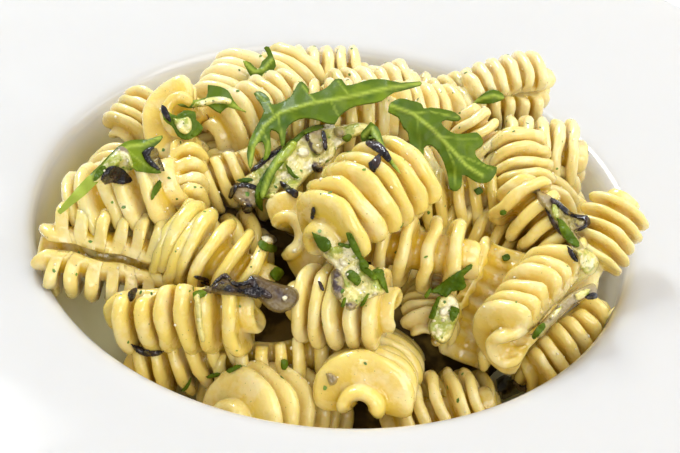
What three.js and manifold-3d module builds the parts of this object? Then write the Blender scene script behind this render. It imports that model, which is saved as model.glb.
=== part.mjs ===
// Plate of radiatori with pesto, aubergine and rocket.
// Millimetres, +Z up. The origin is under the middle of the plate, on the table.
// The viewer stands on the -Y side, with +X to the right.

import * as THREE from 'three';
import { mergeVertices } from 'three/addons/utils/BufferGeometryUtils.js';
import Module from 'manifold-3d';

const wasm = await Module();
wasm.setup();

// ---------------------------------------------------------------- driving dimensions

const PLATE_SEGMENTS = 36; // facets round the plate
const FOOT_RADIUS = 44; // middle of the foot ring
const FOOT_WIDTH = 4;
const FOOT_RECESS = 3; // height of the underside inside the foot ring
const FLOOR_HEIGHT = 7; // top of the bowl's floor
const FLOOR_RADIUS = 44;
const LIP_RADIUS = 75; // where the bowl's wall turns into the rim
const LIP_HEIGHT = 45;
const RIM_RADIUS = 155;
const RIM_HEIGHT = 49;
const WALL = 4.5; // thickness of the bowl's wall and of the rim

const FIN_PITCH = 4.7; // from one fin of a radiatore to the next
const TUBE_RADIUS = 5.7; // outside of the rolled tube inside the fins
const FIN_HEIGHT = 5.4; // mean height of a fin over its tube
const END_STUB = 1.3; // the tube's end, past the last fin
const BARREL_SIDES = 6;
const RIDGE_SHARE = 0.33; // ridges on a solid for each fin of the real piece
const OPEN_SIDE = 0.72; // flattening of the side where the fins run out

const GAP = 0.4; // clearance between pieces that touch

// ---------------------------------------------------------------- materials

const finish = (color, roughness) => new THREE.MeshStandardMaterial({ color, roughness, metalness: 0 });
const porcelain = finish(0xf4f2ec, 0.2);
const pasta = finish(0xe9d08a, 0.45);
const leafGreen = finish(0x4f8a22, 0.5);
const aubergine = finish(0x5d5340, 0.45);
const pesto = finish(0xa3a05c, 0.4);

// ---------------------------------------------------------------- solids and meshes

function toSolid(geometry) {
  const bare = geometry.index ? geometry.toNonIndexed() : geometry.clone();
  bare.deleteAttribute('normal');
  bare.deleteAttribute('uv');
  const merged = mergeVertices(bare, 1e-3);
  return new wasm.Manifold(new wasm.Mesh({
    numProp: 3,
    vertProperties: new Float32Array(merged.attributes.position.array),
    triVerts: new Uint32Array(merged.index.array),
  }));
}

function toGeometry(solid) {
  const mesh = solid.getMesh();
  const geometry = new THREE.BufferGeometry();
  geometry.setAttribute('position', new THREE.BufferAttribute(new Float32Array(mesh.vertProperties), 3));
  geometry.setIndex(new THREE.BufferAttribute(new Uint32Array(mesh.triVerts), 1));
  return geometry;
}

const largestPart = (solid) => solid.decompose().reduce((a, b) => (a.volume() > b.volume() ? a : b));

// A turned solid about the Z axis, from [radius, height] points that start and end on the axis.
function turned(points, segments) {
  const profile = points.map(([r, z]) => new THREE.Vector2(r, z));
  return new THREE.LatheGeometry(profile, segments).rotateX(Math.PI / 2);
}

// ---------------------------------------------------------------- plate

// The inside of the bowl from its floor to the lip, as an ellipse that stands on the floor.
const WALL_STEPS = 5;
function bowlInside(clearance) {
  const points = [];
  for (let i = 0; i <= WALL_STEPS; i += 1) {
    const turn = (i / WALL_STEPS) * (Math.PI / 2);
    const r = FLOOR_RADIUS + (LIP_RADIUS - 1 - FLOOR_RADIUS) * Math.sin(turn);
    const z = FLOOR_HEIGHT + (LIP_HEIGHT - 3 - FLOOR_HEIGHT) * (1 - Math.cos(turn));
    points.push([r - clearance * Math.sin(turn), z + clearance * Math.cos(turn)]);
  }
  return points;
}

function lipAndRim(clearance) {
  return [
    [LIP_RADIUS, LIP_HEIGHT - 1 + clearance],
    [LIP_RADIUS + 2.5, LIP_HEIGHT + 0.6 + clearance],
    [LIP_RADIUS + 8, LIP_HEIGHT + 1.2 + clearance],
  ];
}

function plateGeometry() {
  const footInner = FOOT_RADIUS - FOOT_WIDTH / 2;
  const footOuter = FOOT_RADIUS + FOOT_WIDTH / 2;
  const top = [[0, FLOOR_HEIGHT], ...bowlInside(0), ...lipAndRim(0), [RIM_RADIUS - 3, RIM_HEIGHT]];
  const edge = [[RIM_RADIUS, RIM_HEIGHT - 1.8], [RIM_RADIUS - 1.5, RIM_HEIGHT - 4]];
  const underside = [
    [LIP_RADIUS + 8, LIP_HEIGHT - WALL],
    [LIP_RADIUS + 3, LIP_HEIGHT - WALL - 5],
    [LIP_RADIUS - 2, LIP_HEIGHT - 24],
    [LIP_RADIUS - 15, FOOT_RECESS + 4],
    [footOuter + 1.5, FOOT_RECESS],
    [footOuter, 0],
    [footInner, 0],
    [footInner - 1.5, FOOT_RECESS],
    [0, FOOT_RECESS],
  ];
  return turned([...top, ...edge, ...underside].reverse(), PLATE_SEGMENTS);
}

// The room above the plate, out to the rim's edge, that food may fill.
function roomAbovePlate() {
  const inside = [[0, FLOOR_HEIGHT + GAP], ...bowlInside(GAP), ...lipAndRim(GAP)];
  return toSolid(turned([...inside, [RIM_RADIUS, RIM_HEIGHT + GAP], [RIM_RADIUS, 120], [0, 120]], PLATE_SEGMENTS));
}

// ---------------------------------------------------------------- radiatori

// Each row is a piece where it lies: x, y, z of its middle, then in degrees the heading of its
// axis, the axis's tilt and the roll of its finned side (0 is up), then its fins and its size.
const FRONT_ROW = {
  front_left: [-34, -43, 47, -5, 10, 135, 6, 1.0],
  front_cap: [-9, -56, 28, 45, -30, 5, 6, 0.95],
  front_scroll: [13, -48, 31, 80, -30, -15, 7, 1.08],
  front_ribbed: [29, -52, 26, 15, 10, 10, 5, 0.88],
  front_middle: [5, -42, 48, -15, 15, 10, 5, 0.9],
};
const LEFT_SIDE = {
  left_comb: [-52, -30, 46, -10, -10, 130, 6, 0.8],
  left_ladder: [-50, -30, 51, -10, -10, -80, 6, 0.95],
  left_big: [-50, -16, 55, 5, 30, 55, 5, 1.03],
  left_bars: [-27, -26, 51, -10, -15, 60, 6, 0.88],
  left_knuckle: [-40, -11, 55, 100, 20, 140, 4, 0.85],
  left_scroll: [-35, 18, 56, 45, -15, 30, 6, 0.95],
  left_far: [-54, 24, 47, 65, 15, 25, 4, 0.72],
  left_of_leaf: [-21, 19, 56, 40, 5, 40, 6, 0.9],
};
const MIDDLE = {
  top: [8, -24, 65, 50, 10, -25, 6, 1.02],
  middle_comb: [24, -25, 53, 0, 0, 95, 5, 0.82],
};
const RIGHT_SIDE = {
  right_front: [54, -33, 45, 60, 5, -25, 6, 1.0],
  right_slope: [53, -13, 54, -45, -25, 115, 6, 1.0],
  right_on_lip: [66, -16, 54, 60, 30, 25, 5, 0.85],
};
const BACK = {
  back_left: [-31, 36, 50, 75, 5, 20, 5, 0.88],
  back_left_top: [-19, 39, 50, 65, 5, 25, 6, 0.88],
  back_edge: [-8, 52, 48, 10, 0, 10, 6, 0.85],
  back_middle: [7, 39, 52, 25, 0, -10, 6, 0.82],
  back_right_top: [46, 40, 58, 5, 10, -60, 6, 0.85],
  back_right: [46, 42, 53, 5, 5, 145, 5, 0.85],
  back_right_row: [52, 21, 52, 0, 0, 30, 5, 0.85],
  back_right_small: [46, 10, 55, 105, 30, -15, 4, 0.75],
  behind_top: [-1, 19, 58, 10, 0, 50, 6, 0.92],
};

// Pieces that the others mostly cover.
const TUCKED_IN = {
  front_left_below: [-30, -44, 33, 10, 15, 135, 6, 0.9],
  front_comb: [-10, -35, 31, 5, 5, 130, 6, 0.88],
  left_teeth: [-28, 0, 53, 25, 15, 135, 6, 0.85],
  middle_dark: [27, 4, 46, 5, 10, 90, 7, 0.9],
  middle_trough: [37, -25, 42, 85, 20, 170, 6, 1.0],
  middle_coated: [28, -31, 42, 85, 0, 25, 6, 0.75],
  middle_hole: [-6, -12, 44, 55, -15, 45, 6, 1.0],
  right_front_below: [56, -24, 31, 45, 25, 115, 6, 0.8],
  under_broad_leaf: [39, 15, 58, -35, -35, 100, 6, 0.75],
  under_long_leaf: [22, 31, 53, 25, -15, 55, 6, 0.85],
  back_gap: [29, 44, 49, 30, 5, 45, 5, 0.75],
  right_edge: [58, 16, 45, 75, 20, 10, 5, 0.85],
  below_top: [9, -20, 54, 50, 10, 0, 6, 0.9],
  below_left: [-56, 2, 38, 85, 0, 20, 6, 0.9],
  below_back_left: [-44, 36, 38, 40, 0, 0, 6, 0.9],
  below_back: [-24, 54, 38, 160, 0, -20, 6, 0.9],
  below_back_right: [12, 58, 38, 5, 0, 40, 6, 0.9],
  below_right: [36, 48, 36, 145, 0, 10, 6, 0.9],
};

const degrees = THREE.MathUtils.degToRad;

// A barrel with one ridge for each fin. Its middle is pushed to the finned side, because the
// fins are highest opposite the tube's opening.
function radiatore([x, y, z, heading, tilt, roll, fins, size], ridgeShare, grow) {
  const half = (fins * FIN_PITCH) / 2;
  const crest = TUBE_RADIUS + FIN_HEIGHT + grow;
  const valley = crest - FIN_HEIGHT * 0.45;
  const ends = half + END_STUB + grow;
  const points = [[0, -ends], [TUBE_RADIUS + grow, -ends], [valley, -half]];
  const ridges = Math.max(1, Math.ceil(fins * ridgeShare));
  for (let ridge = 0; ridge < ridges; ridge += 1) {
    const pitch = (2 * half) / ridges;
    const middle = -half + (ridge + 0.5) * pitch;
    points.push([crest, middle], [valley, middle + pitch / 2]);
  }
  points.push([TUBE_RADIUS + grow, ends], [0, ends]);
  const geometry = turned(points, BARREL_SIDES).rotateY(Math.PI / 2);
  const position = geometry.attributes.position;
  for (let i = 0; i < position.count; i += 1) {
    if (position.getZ(i) < 0) position.setZ(i, position.getZ(i) * OPEN_SIDE);
  }
  geometry.scale(size, size, size);
  geometry.rotateX(degrees(roll)).rotateY(degrees(-tilt)).rotateZ(degrees(heading));
  return toSolid(geometry.translate(x, y, z));
}

// What lies under the pieces that show, so that the heap is one solid down to the bowl: a dome
// that rises and falls as the covered pieces in it do.
const CORE_SEGMENTS = 28;
const CORE_SWELL = 2.2;
function heapCore(grow) {
  const dome = [[68, 33], [58, 39], [46, 43], [33, 46], [18, 48], [0, 49]];
  const geometry = turned([[0, FLOOR_HEIGHT], [60, FLOOR_HEIGHT], [70, 22], ...dome], CORE_SEGMENTS);
  const position = geometry.attributes.position;
  for (let i = 0; i < position.count; i += 1) {
    const swell = Math.sin(position.getX(i) / 4.5) * Math.cos(position.getY(i) / 5);
    if (position.getZ(i) > dome[0][1] - 1) position.setZ(i, position.getZ(i) + CORE_SWELL * swell + grow);
  }
  return toSolid(geometry);
}

function heap(grow) {
  const shown = Object.values({ ...FRONT_ROW, ...LEFT_SIDE, ...MIDDLE, ...RIGHT_SIDE, ...BACK });
  const pieces = [
    ...shown.map((row) => radiatore(row, RIDGE_SHARE, grow)),
    ...Object.values(TUCKED_IN).map((row) => radiatore(row, 0, grow)),
  ];
  return pieces.reduce((whole, piece) => whole.add(piece), heapCore(grow));
}

// ---------------------------------------------------------------- toppings

const sideways = new THREE.Vector3();
const upwards = new THREE.Vector3();

// Moves a shape that lies along X from 0 to 1 on to a curve, with its Y to the side of the
// curve and its Z away from the heap.
function layAlong(geometry, route, lean) {
  const curve = new THREE.CatmullRomCurve3(route.map((point) => new THREE.Vector3(...point)));
  const position = geometry.attributes.position;
  const up = new THREE.Vector3(0, -Math.sin(degrees(lean)), Math.cos(degrees(lean)));
  for (let i = 0; i < position.count; i += 1) {
    const along = THREE.MathUtils.clamp(position.getX(i), 0, 1);
    const place = curve.getPoint(along);
    const tangent = curve.getTangent(along);
    sideways.crossVectors(up, tangent).normalize();
    upwards.crossVectors(tangent, sideways);
    place.addScaledVector(sideways, position.getY(i)).addScaledVector(upwards, position.getZ(i));
    position.setXYZ(i, place.x, place.y, place.z);
  }
  return toSolid(geometry);
}

// A leaf: a ribbon that swells and narrows once for each pair of lobes, on a thin stalk.
const LEAF_STATIONS = 11;
const LEAF_THICKNESS = 1.2;
const STALK_HALF = 0.6;
function leaf({ route, width, lobes = 0, stalk = 0, lean = 30 }, grow) {
  const ribbon = new THREE.BoxGeometry(1, 2, LEAF_THICKNESS + 2 * grow, LEAF_STATIONS, 1, 1);
  const position = ribbon.translate(0.5, 0, 0).attributes.position;
  for (let i = 0; i < position.count; i += 1) {
    const blade = THREE.MathUtils.clamp((position.getX(i) - stalk) / (1 - stalk), 0, 1);
    const swell = Math.sin(Math.PI * blade ** 0.8) ** 0.7;
    const lobed = lobes ? 0.62 + 0.38 * Math.cos(2 * Math.PI * lobes * blade) : 1;
    position.setY(i, position.getY(i) * (Math.max(STALK_HALF, width * swell * lobed) + grow));
  }
  return layAlong(ribbon, route, lean);
}

// A soft lump or strip with a wavy surface.
const LUMP_SIDES = 7;
const LUMP_RINGS = 6;
function lump({ route, width, height, waves = 3, lean = 20 }, grow) {
  const ball = new THREE.SphereGeometry(1, LUMP_SIDES, LUMP_RINGS).rotateZ(Math.PI / 2);
  const merged = mergeVertices(ball.deleteAttribute('normal').deleteAttribute('uv'), 1e-4);
  const position = merged.attributes.position;
  for (let i = 0; i < position.count; i += 1) {
    const along = position.getX(i);
    const wave = 1 + 0.14 * Math.sin(waves * Math.PI * along + 1) + 0.1 * Math.cos(5 * position.getY(i));
    const full = Math.max(0.001, 1 - along * along) ** -0.2;
    const y = position.getY(i) * (width * wave * full + grow);
    position.setXYZ(i, (along + 1) / 2, y, position.getZ(i) * (height * wave * full + grow));
  }
  return layAlong(merged, route, lean);
}

const TOPPINGS = {
  aubergine_middle: {
    make: lump, look: aubergine, width: 2.6, height: 2, waves: 2,
    route: [[-9, 4, 63], [-7, 2, 62], [-4, 0, 61], [-4, -3, 59]],
  },
  aubergine_middle_left: {
    make: lump, look: aubergine, width: 2.8, height: 2, waves: 2, lean: 45,
    route: [[-25, -13, 54], [-23, -13, 56], [-20, -13, 56], [-18, -14, 55]],
  },
  pesto_clump_middle: {
    make: lump, look: pesto, width: 5.5, height: 3.5, waves: 4, lean: 35,
    route: [[-23, -12, 53], [-18, -9, 56], [-12, -3, 59], [-5, 3, 60], [1, 6, 62], [7, 7, 64]],
  },
  pesto_clump_front: {
    make: lump, look: pesto, width: 5, height: 2.2, waves: 3, lean: 50,
    route: [[-3, -34, 61], [0, -37, 60], [4, -41, 60], [6, -46, 59], [6, -51, 57]],
  },
  pesto_clump_right: {
    make: lump, look: pesto, width: 3.2, height: 2.4, waves: 2, lean: 50,
    route: [[31, -34, 57], [28, -36, 54], [26, -39, 51], [27, -42, 48], [28, -42, 44]],
  },
  aubergine_front: {
    make: lump, look: aubergine, width: 2.8, height: 2.2, waves: 4, lean: 35,
    route: [[-29, -48, 57], [-25, -49, 58], [-20, -48, 57], [-15, -46, 55], [-10, -46, 54], [-6, -47, 53]],
  },
  aubergine_left: {
    make: lump, look: aubergine, width: 2, height: 1.6, waves: 2, lean: 45,
    route: [[-53, -24, 66], [-51, -24, 67], [-49, -25, 67], [-46, -26, 66]],
  },
  aubergine_right: {
    make: lump, look: aubergine, width: 2.8, height: 1.8, waves: 3, lean: 30,
    route: [[49, -18, 65], [52, -20, 63], [54, -23, 62], [56, -26, 60], [58, -28, 58]],
  },
  aubergine_right_low: {
    make: lump, look: aubergine, width: 2.2, height: 1.6, waves: 3, lean: 60,
    route: [[60, -37, 55], [56, -41, 55], [52, -45, 54], [49, -47, 52], [46, -48, 50]],
  },
  rocket_leaf_long: {
    make: leaf, look: leafGreen, width: 4.5, lobes: 3, stalk: 0.2, lean: 30,
    route: [[19, 27, 66], [11, 20, 68], [1, 14, 68], [-8, 10, 67], [-15, 8, 65], [-19, 4, 63], [-21, -7, 60]],
  },
  rocket_leaf_broad: {
    make: leaf, look: leafGreen, width: 7, lobes: 2, lean: 40,
    route: [[12, 15, 67], [18, 14, 65], [23, 12, 63], [28, 9, 60], [32, 4, 58], [35, -1, 57]],
  },
  leaf_left: {
    make: leaf, look: leafGreen, width: 4.5, lobes: 1, stalk: 0.4, lean: 35,
    route: [[-61, -33, 60], [-58, -30, 64], [-55, -26, 66], [-52, -21, 68], [-48, -18, 70], [-42, -13, 69]],
  },
  leaf_on_scroll: {
    make: leaf, look: leafGreen, width: 2.8, lean: 50,
    route: [[-45, 7, 64], [-42, 4, 63], [-39, 3, 63], [-35, 1, 63]],
  },
  leaf_pale: {
    make: leaf, look: leafGreen, width: 2.2, lean: 30,
    route: [[-36, 5, 68], [-33, 9, 68], [-30, 11, 66], [-27, 10, 65], [-24, 8, 64]],
  },
  leaf_back: {
    make: leaf, look: leafGreen, width: 2.4, lean: 40,
    route: [[-28, 35, 62], [-25, 33, 62], [-22, 34, 62], [-20, 35, 62]],
  },
  leaf_top: {
    make: leaf, look: leafGreen, width: 2.6, lean: 35,
    route: [[5, -9, 74], [7, -11, 76], [10, -18, 78], [12, -23, 77], [14, -27, 76]],
  },
  leaf_back_right: {
    make: leaf, look: leafGreen, width: 1.8, lean: 45,
    route: [[34, 31, 60], [37, 32, 61], [39, 32, 61], [43, 33, 60]],
  },
  leaf_middle_stem: {
    make: leaf, look: leafGreen, width: 1.4, lean: 30,
    route: [[-17, -14, 57], [-16, -10, 60], [-14, -6, 63], [-11, 0, 65]],
  },
};

// ---------------------------------------------------------------- the whole plate

const group = new THREE.Group();

function addMesh(name, geometry, material) {
  const mesh = new THREE.Mesh(geometry, material);
  mesh.name = name;
  group.add(mesh);
}

addMesh('plate', plateGeometry(), porcelain);

const room = roomAbovePlate();
addMesh('radiatori_heap', toGeometry(largestPart(heap(0).intersect(room))), pasta);

// Each topping is trimmed where it rests on the heap and on the toppings laid before it.
let taken = heap(GAP);
for (const [name, topping] of Object.entries(TOPPINGS)) {
  const trimmed = topping.make(topping, 0).subtract(taken).intersect(room);
  addMesh(name, toGeometry(largestPart(trimmed)), topping.look);
  taken = taken.add(topping.make(topping, GAP));
}

export default group;
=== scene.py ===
"""A white pasta plate heaped with radiatori in creamy pesto, with aubergine and rocket leaves."""

import math
import random
from typing import NamedTuple

import bmesh
import bpy
from mathutils import Matrix, Vector, noise
from mathutils.bvhtree import BVHTree


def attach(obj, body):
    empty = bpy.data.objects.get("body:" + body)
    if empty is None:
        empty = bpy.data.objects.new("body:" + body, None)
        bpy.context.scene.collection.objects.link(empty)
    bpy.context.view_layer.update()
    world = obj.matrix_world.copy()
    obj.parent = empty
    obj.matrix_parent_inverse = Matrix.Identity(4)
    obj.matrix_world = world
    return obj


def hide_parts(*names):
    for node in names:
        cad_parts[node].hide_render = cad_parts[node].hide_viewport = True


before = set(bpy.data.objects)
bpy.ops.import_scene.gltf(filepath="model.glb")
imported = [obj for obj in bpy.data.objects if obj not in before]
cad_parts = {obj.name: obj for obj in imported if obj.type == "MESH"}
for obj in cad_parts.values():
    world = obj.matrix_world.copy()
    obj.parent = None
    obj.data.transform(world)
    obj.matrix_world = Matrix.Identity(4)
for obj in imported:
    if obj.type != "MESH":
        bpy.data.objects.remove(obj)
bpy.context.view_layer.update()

# Shapes and places are worked out in millimetres, and made metres when they are finished. The
# lights, and the depths and scales in materials, are in metres from the start.
MM = 0.001
SEED = 11
draw = random.Random(SEED)
noise.seed_set(SEED)


# ------------------------------------------------------------------ the view

VIEW_TARGET = Vector((2.1, -9.0, 45.0))
VIEW_ELEVATION = math.radians(38.94)
VIEW_ROLL = math.radians(5.53)
VIEW_DISTANCE = 322.0
PHOTO_SIZE = (680, 453)
SENSOR_WIDTH = 36.0
LENS = 68.82
CLIP_START = 10.0

view_back = Vector((0, -math.cos(VIEW_ELEVATION), math.sin(VIEW_ELEVATION)))
level_up = Vector((0, math.sin(VIEW_ELEVATION), math.cos(VIEW_ELEVATION)))
level_right = Vector((1, 0, 0))
view_right = level_right * math.cos(VIEW_ROLL) + level_up * math.sin(VIEW_ROLL)
view_up = level_up * math.cos(VIEW_ROLL) - level_right * math.sin(VIEW_ROLL)
view_point = VIEW_TARGET + view_back * VIEW_DISTANCE
pixels_per_depth = LENS / SENSOR_WIDTH * PHOTO_SIZE[0]


def sight(px, py):
    """The step along the line of sight through a pixel of the photograph, for 1 mm of depth."""
    across = (px - PHOTO_SIZE[0] / 2) / pixels_per_depth
    above = (PHOTO_SIZE[1] / 2 - py) / pixels_per_depth
    return view_right * across + view_up * above - view_back


def add_camera():
    data = bpy.data.cameras.new("camera")
    data.lens = LENS
    data.sensor_width = SENSOR_WIDTH
    data.clip_start = CLIP_START * MM
    camera = bpy.data.objects.new("camera", data)
    turn = Matrix((view_right, view_up, view_back)).transposed()
    camera.matrix_world = Matrix.Translation(view_point * MM) @ turn.to_4x4()
    bpy.context.collection.objects.link(camera)
    bpy.context.scene.camera = camera


# ------------------------------------------------------------------ materials

def add_node(tree, kind, **settings):
    made = tree.nodes.new(kind)
    for name, value in settings.items():
        setattr(made, name, value)
    return made


def new_group(name, inputs, outputs):
    """A shader node group with its sockets. inputs and outputs are (name, kind, default)."""
    tree = bpy.data.node_groups.new(name, "ShaderNodeTree")
    for in_out, rows in (("INPUT", inputs), ("OUTPUT", outputs)):
        for label, kind, default in rows:
            socket = tree.interface.new_socket(label, in_out=in_out, socket_type=f"NodeSocket{kind}")
            if default is not None:
                socket.default_value = default
    ends = add_node(tree, "NodeGroupInput"), add_node(tree, "NodeGroupOutput")
    return tree, ends[0].outputs, ends[1].inputs


def patches_group():
    """Soft-edged patches: 1 inside them and 0 outside."""
    tree, given, out = new_group(
        "patches",
        [("Scale", "Float", 200.0), ("Detail", "Float", 3.0), ("From", "Float", 0.45), ("To", "Float", 0.6)],
        [("Mask", "Float", None)],
    )
    place = add_node(tree, "ShaderNodeTexCoord")
    cloud = add_node(tree, "ShaderNodeTexNoise")
    edge = add_node(tree, "ShaderNodeMapRange", interpolation_type="SMOOTHSTEP")
    link = tree.links.new
    link(place.outputs["Object"], cloud.inputs["Vector"])
    link(given["Scale"], cloud.inputs["Scale"])
    link(given["Detail"], cloud.inputs["Detail"])
    link(cloud.outputs["Fac"], edge.inputs["Value"])
    link(given["From"], edge.inputs["From Min"])
    link(given["To"], edge.inputs["From Max"])
    link(edge.outputs["Result"], out["Mask"])
    return tree


def specks_group():
    """Small separate specks of uneven size: 1 on a speck and 0 between them."""
    tree, given, out = new_group(
        "specks",
        [("Scale", "Float", 500.0), ("Size", "Float", 0.2)],
        [("Mask", "Float", None)],
    )
    place = add_node(tree, "ShaderNodeTexCoord")
    cells = add_node(tree, "ShaderNodeTexVoronoi")
    cloud = add_node(tree, "ShaderNodeTexNoise")
    cloud.inputs["Scale"].default_value = 160.0
    limit = add_node(tree, "ShaderNodeMath", operation="MULTIPLY")
    inside = add_node(tree, "ShaderNodeMath", operation="LESS_THAN")
    link = tree.links.new
    link(place.outputs["Object"], cells.inputs["Vector"])
    link(place.outputs["Object"], cloud.inputs["Vector"])
    link(given["Scale"], cells.inputs["Scale"])
    link(given["Size"], limit.inputs[0])
    link(cloud.outputs["Fac"], limit.inputs[1])
    link(cells.outputs["Distance"], inside.inputs[0])
    link(limit.outputs[0], inside.inputs[1])
    link(inside.outputs[0], out["Mask"])
    return tree


def relief_group():
    """Two sizes of unevenness as a normal: broad swells and a fine grain."""
    tree, given, out = new_group(
        "relief",
        [("Broad Scale", "Float", 120.0), ("Fine Scale", "Float", 900.0), ("Fine Share", "Float", 0.4),
         ("Strength", "Float", 0.3), ("Depth", "Float", 0.0005)],
        [("Normal", "Vector", None)],
    )
    place = add_node(tree, "ShaderNodeTexCoord")
    broad = add_node(tree, "ShaderNodeTexNoise")
    fine = add_node(tree, "ShaderNodeTexNoise")
    both = add_node(tree, "ShaderNodeMath", operation="MULTIPLY_ADD")
    bump = add_node(tree, "ShaderNodeBump")
    link = tree.links.new
    link(place.outputs["Object"], broad.inputs["Vector"])
    link(place.outputs["Object"], fine.inputs["Vector"])
    link(given["Broad Scale"], broad.inputs["Scale"])
    link(given["Fine Scale"], fine.inputs["Scale"])
    link(fine.outputs["Fac"], both.inputs[0])
    link(given["Fine Share"], both.inputs[1])
    link(broad.outputs["Fac"], both.inputs[2])
    link(both.outputs[0], bump.inputs["Height"])
    link(given["Strength"], bump.inputs["Strength"])
    link(given["Depth"], bump.inputs["Distance"])
    link(bump.outputs["Normal"], out["Normal"])
    return tree


patches = patches_group()
specks = specks_group()
relief = relief_group()


class Finish:
    """A material under construction: its Principled shader and the colours laid over each other."""

    def __init__(self, name, color, **sockets):
        self.material = bpy.data.materials.new(name)
        self.material.use_nodes = True
        self.tree = self.material.node_tree
        self.shader = self.tree.nodes["Principled BSDF"]
        self.color = self.shader.inputs["Base Color"]
        self.color.default_value = (*color, 1)
        for label, value in sockets.items():
            self.shader.inputs[label.replace("_", " ")].default_value = value

    def group(self, tree, **values):
        """The output of a node group, with values for its inputs."""
        made = add_node(self.tree, "ShaderNodeGroup", node_tree=tree)
        for label, value in values.items():
            made.inputs[label.replace("_", " ")].default_value = value
        return made.outputs[0]

    def attribute(self, name):
        return add_node(self.tree, "ShaderNodeAttribute", attribute_name=name).outputs["Fac"]

    def weaker(self, mask, share):
        """A mask that reaches only so much of its strength."""
        made = add_node(self.tree, "ShaderNodeMath", operation="MULTIPLY")
        self.tree.links.new(mask, made.inputs[0])
        made.inputs[1].default_value = share
        return made.outputs[0]

    def lay(self, color, mask):
        """Lays a colour over what is there, where mask is 1."""
        mix = add_node(self.tree, "ShaderNodeMix", data_type="RGBA")
        mix.inputs["A"].default_value = self.color.default_value
        if self.color.is_linked:
            self.tree.links.new(self.color.links[0].from_socket, mix.inputs["A"])
        mix.inputs["B"].default_value = (*color, 1)
        self.tree.links.new(mask, mix.inputs["Factor"])
        self.tree.links.new(mix.outputs["Result"], self.color)

    def roughness(self, low, high, mask):
        """Makes the roughness go from low to high as mask goes from 0 to 1."""
        span = add_node(self.tree, "ShaderNodeMapRange")
        span.inputs["To Min"].default_value = low
        span.inputs["To Max"].default_value = high
        self.tree.links.new(mask, span.inputs["Value"])
        self.tree.links.new(span.outputs["Result"], self.shader.inputs["Roughness"])

    def relief(self, **values):
        self.tree.links.new(self.group(relief, **values), self.shader.inputs["Normal"])


def porcelain_finish():
    """White porcelain, painted whiter in the well as painted light, with a yellow layer of oil on the lower
    wall that is partly painted bounce light from the pasta.
    """
    made = Finish(
        "white_porcelain", (0.585, 0.58, 0.572), Roughness=0.16, Coat_Weight=0.4, Coat_Roughness=0.05,
        Subsurface_Weight=0.5, Subsurface_Radius=(1.0, 0.85, 0.65), Subsurface_Scale=0.012,
    )
    made.lay((0.585, 0.579, 0.571), made.group(patches, Scale=9.0, Detail=1.0, From=0.4, To=0.7))
    # Painted light: the well is painted whiter than the rim.
    made.lay((0.86, 0.85, 0.83), made.attribute("well_painted_light"))
    # A yellow layer of oil on the lower wall, partly painted yellow bounce light from the pasta.
    made.lay((1.0, 0.825, 0.43), made.attribute("oil_and_bounce_light"))
    made.roughness(0.12, 0.22, made.group(patches, Scale=40.0))
    made.relief(Broad_Scale=14.0, Fine_Scale=160.0, Fine_Share=0.05, Strength=0.15, Depth=0.0006)
    return made.material


def pasta_finish():
    """Yellow pasta, paler on some pieces at random and painted paler towards the back as painted light, with
    painted golden shade in the gaps between fins and inside the tubes, and with cream and bits of pesto.
    """
    made = Finish(
        "cooked_pasta", (0.82, 0.63, 0.15), Roughness=0.42, Coat_Weight=0.8, Coat_Roughness=0.05,
        Specular_IOR_Level=0.35, Subsurface_Weight=0.35, Subsurface_Radius=(1.0, 0.65, 0.12),
        Subsurface_Scale=0.004,
    )
    # Random paler tone of some pieces, and painted light that makes the pieces at the back paler.
    made.lay((0.88, 0.76, 0.42), made.weaker(made.attribute("tone_and_back_light"), 0.9))
    # Painted shade: dark golden at the bottoms of the gaps between fins and inside the tubes.
    made.lay((0.69, 0.46, 0.03), made.attribute("gap_shade"))
    cream = made.group(patches, Scale=170.0, Detail=6.0, From=0.47, To=0.66)
    made.lay((0.90, 0.80, 0.49), made.weaker(cream, 0.45))
    made.lay((0.52, 0.47, 0.10), made.weaker(made.group(patches, Scale=95.0, From=0.58, To=0.74), 0.4))
    made.lay((0.16, 0.18, 0.03), made.weaker(made.group(specks, Scale=700.0, Size=0.16), 0.6))
    made.roughness(0.24, 0.48, cream)
    made.relief(Broad_Scale=260.0, Fine_Scale=1100.0, Fine_Share=0.4, Strength=0.55, Depth=0.0006)
    return made.material


def core_finish():
    # Near black with brown patches: painted shade for the deep gaps of the heap.
    made = Finish("deep_painted_shade", (0.05, 0.03, 0.008), Roughness=0.5, Specular_IOR_Level=0.1)
    made.lay((0.20, 0.125, 0.025), made.group(patches, Scale=120.0))
    made.relief(Broad_Scale=200.0, Strength=0.6, Depth=0.001)
    return made.material


def leaf_finish():
    made = Finish(
        "rocket_leaf", (0.075, 0.128, 0.002), Roughness=0.5, Coat_Weight=0.1, Coat_Roughness=0.15,
        Specular_IOR_Level=0.15, Subsurface_Weight=0.08, Subsurface_Radius=(0.5, 1.0, 0.1),
        Subsurface_Scale=0.0008,
    )
    made.lay((0.155, 0.225, 0.004), made.group(patches, Scale=110.0, Detail=4.0, From=0.46, To=0.66))
    made.lay((0.045, 0.095, 0.004), made.group(patches, Scale=70.0, Detail=3.0, From=0.52, To=0.68))
    made.lay((0.33, 0.41, 0.05), made.attribute("vein"))
    made.relief(Broad_Scale=380.0, Fine_Scale=1800.0, Fine_Share=0.3, Strength=0.4, Depth=0.0004)
    return made.material


def stem_finish():
    made = Finish(
        "rocket_stem", (0.40, 0.47, 0.03), Roughness=0.4, Coat_Weight=0.4, Coat_Roughness=0.1,
        Subsurface_Weight=0.15, Subsurface_Radius=(0.6, 1.0, 0.1), Subsurface_Scale=0.001,
    )
    made.lay((0.14, 0.20, 0.010), made.group(patches, Scale=90.0, Detail=3.0, From=0.50, To=0.66))
    made.relief(Broad_Scale=380.0, Fine_Scale=1500.0, Fine_Share=0.3, Strength=0.3, Depth=0.0004)
    return made.material


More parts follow.
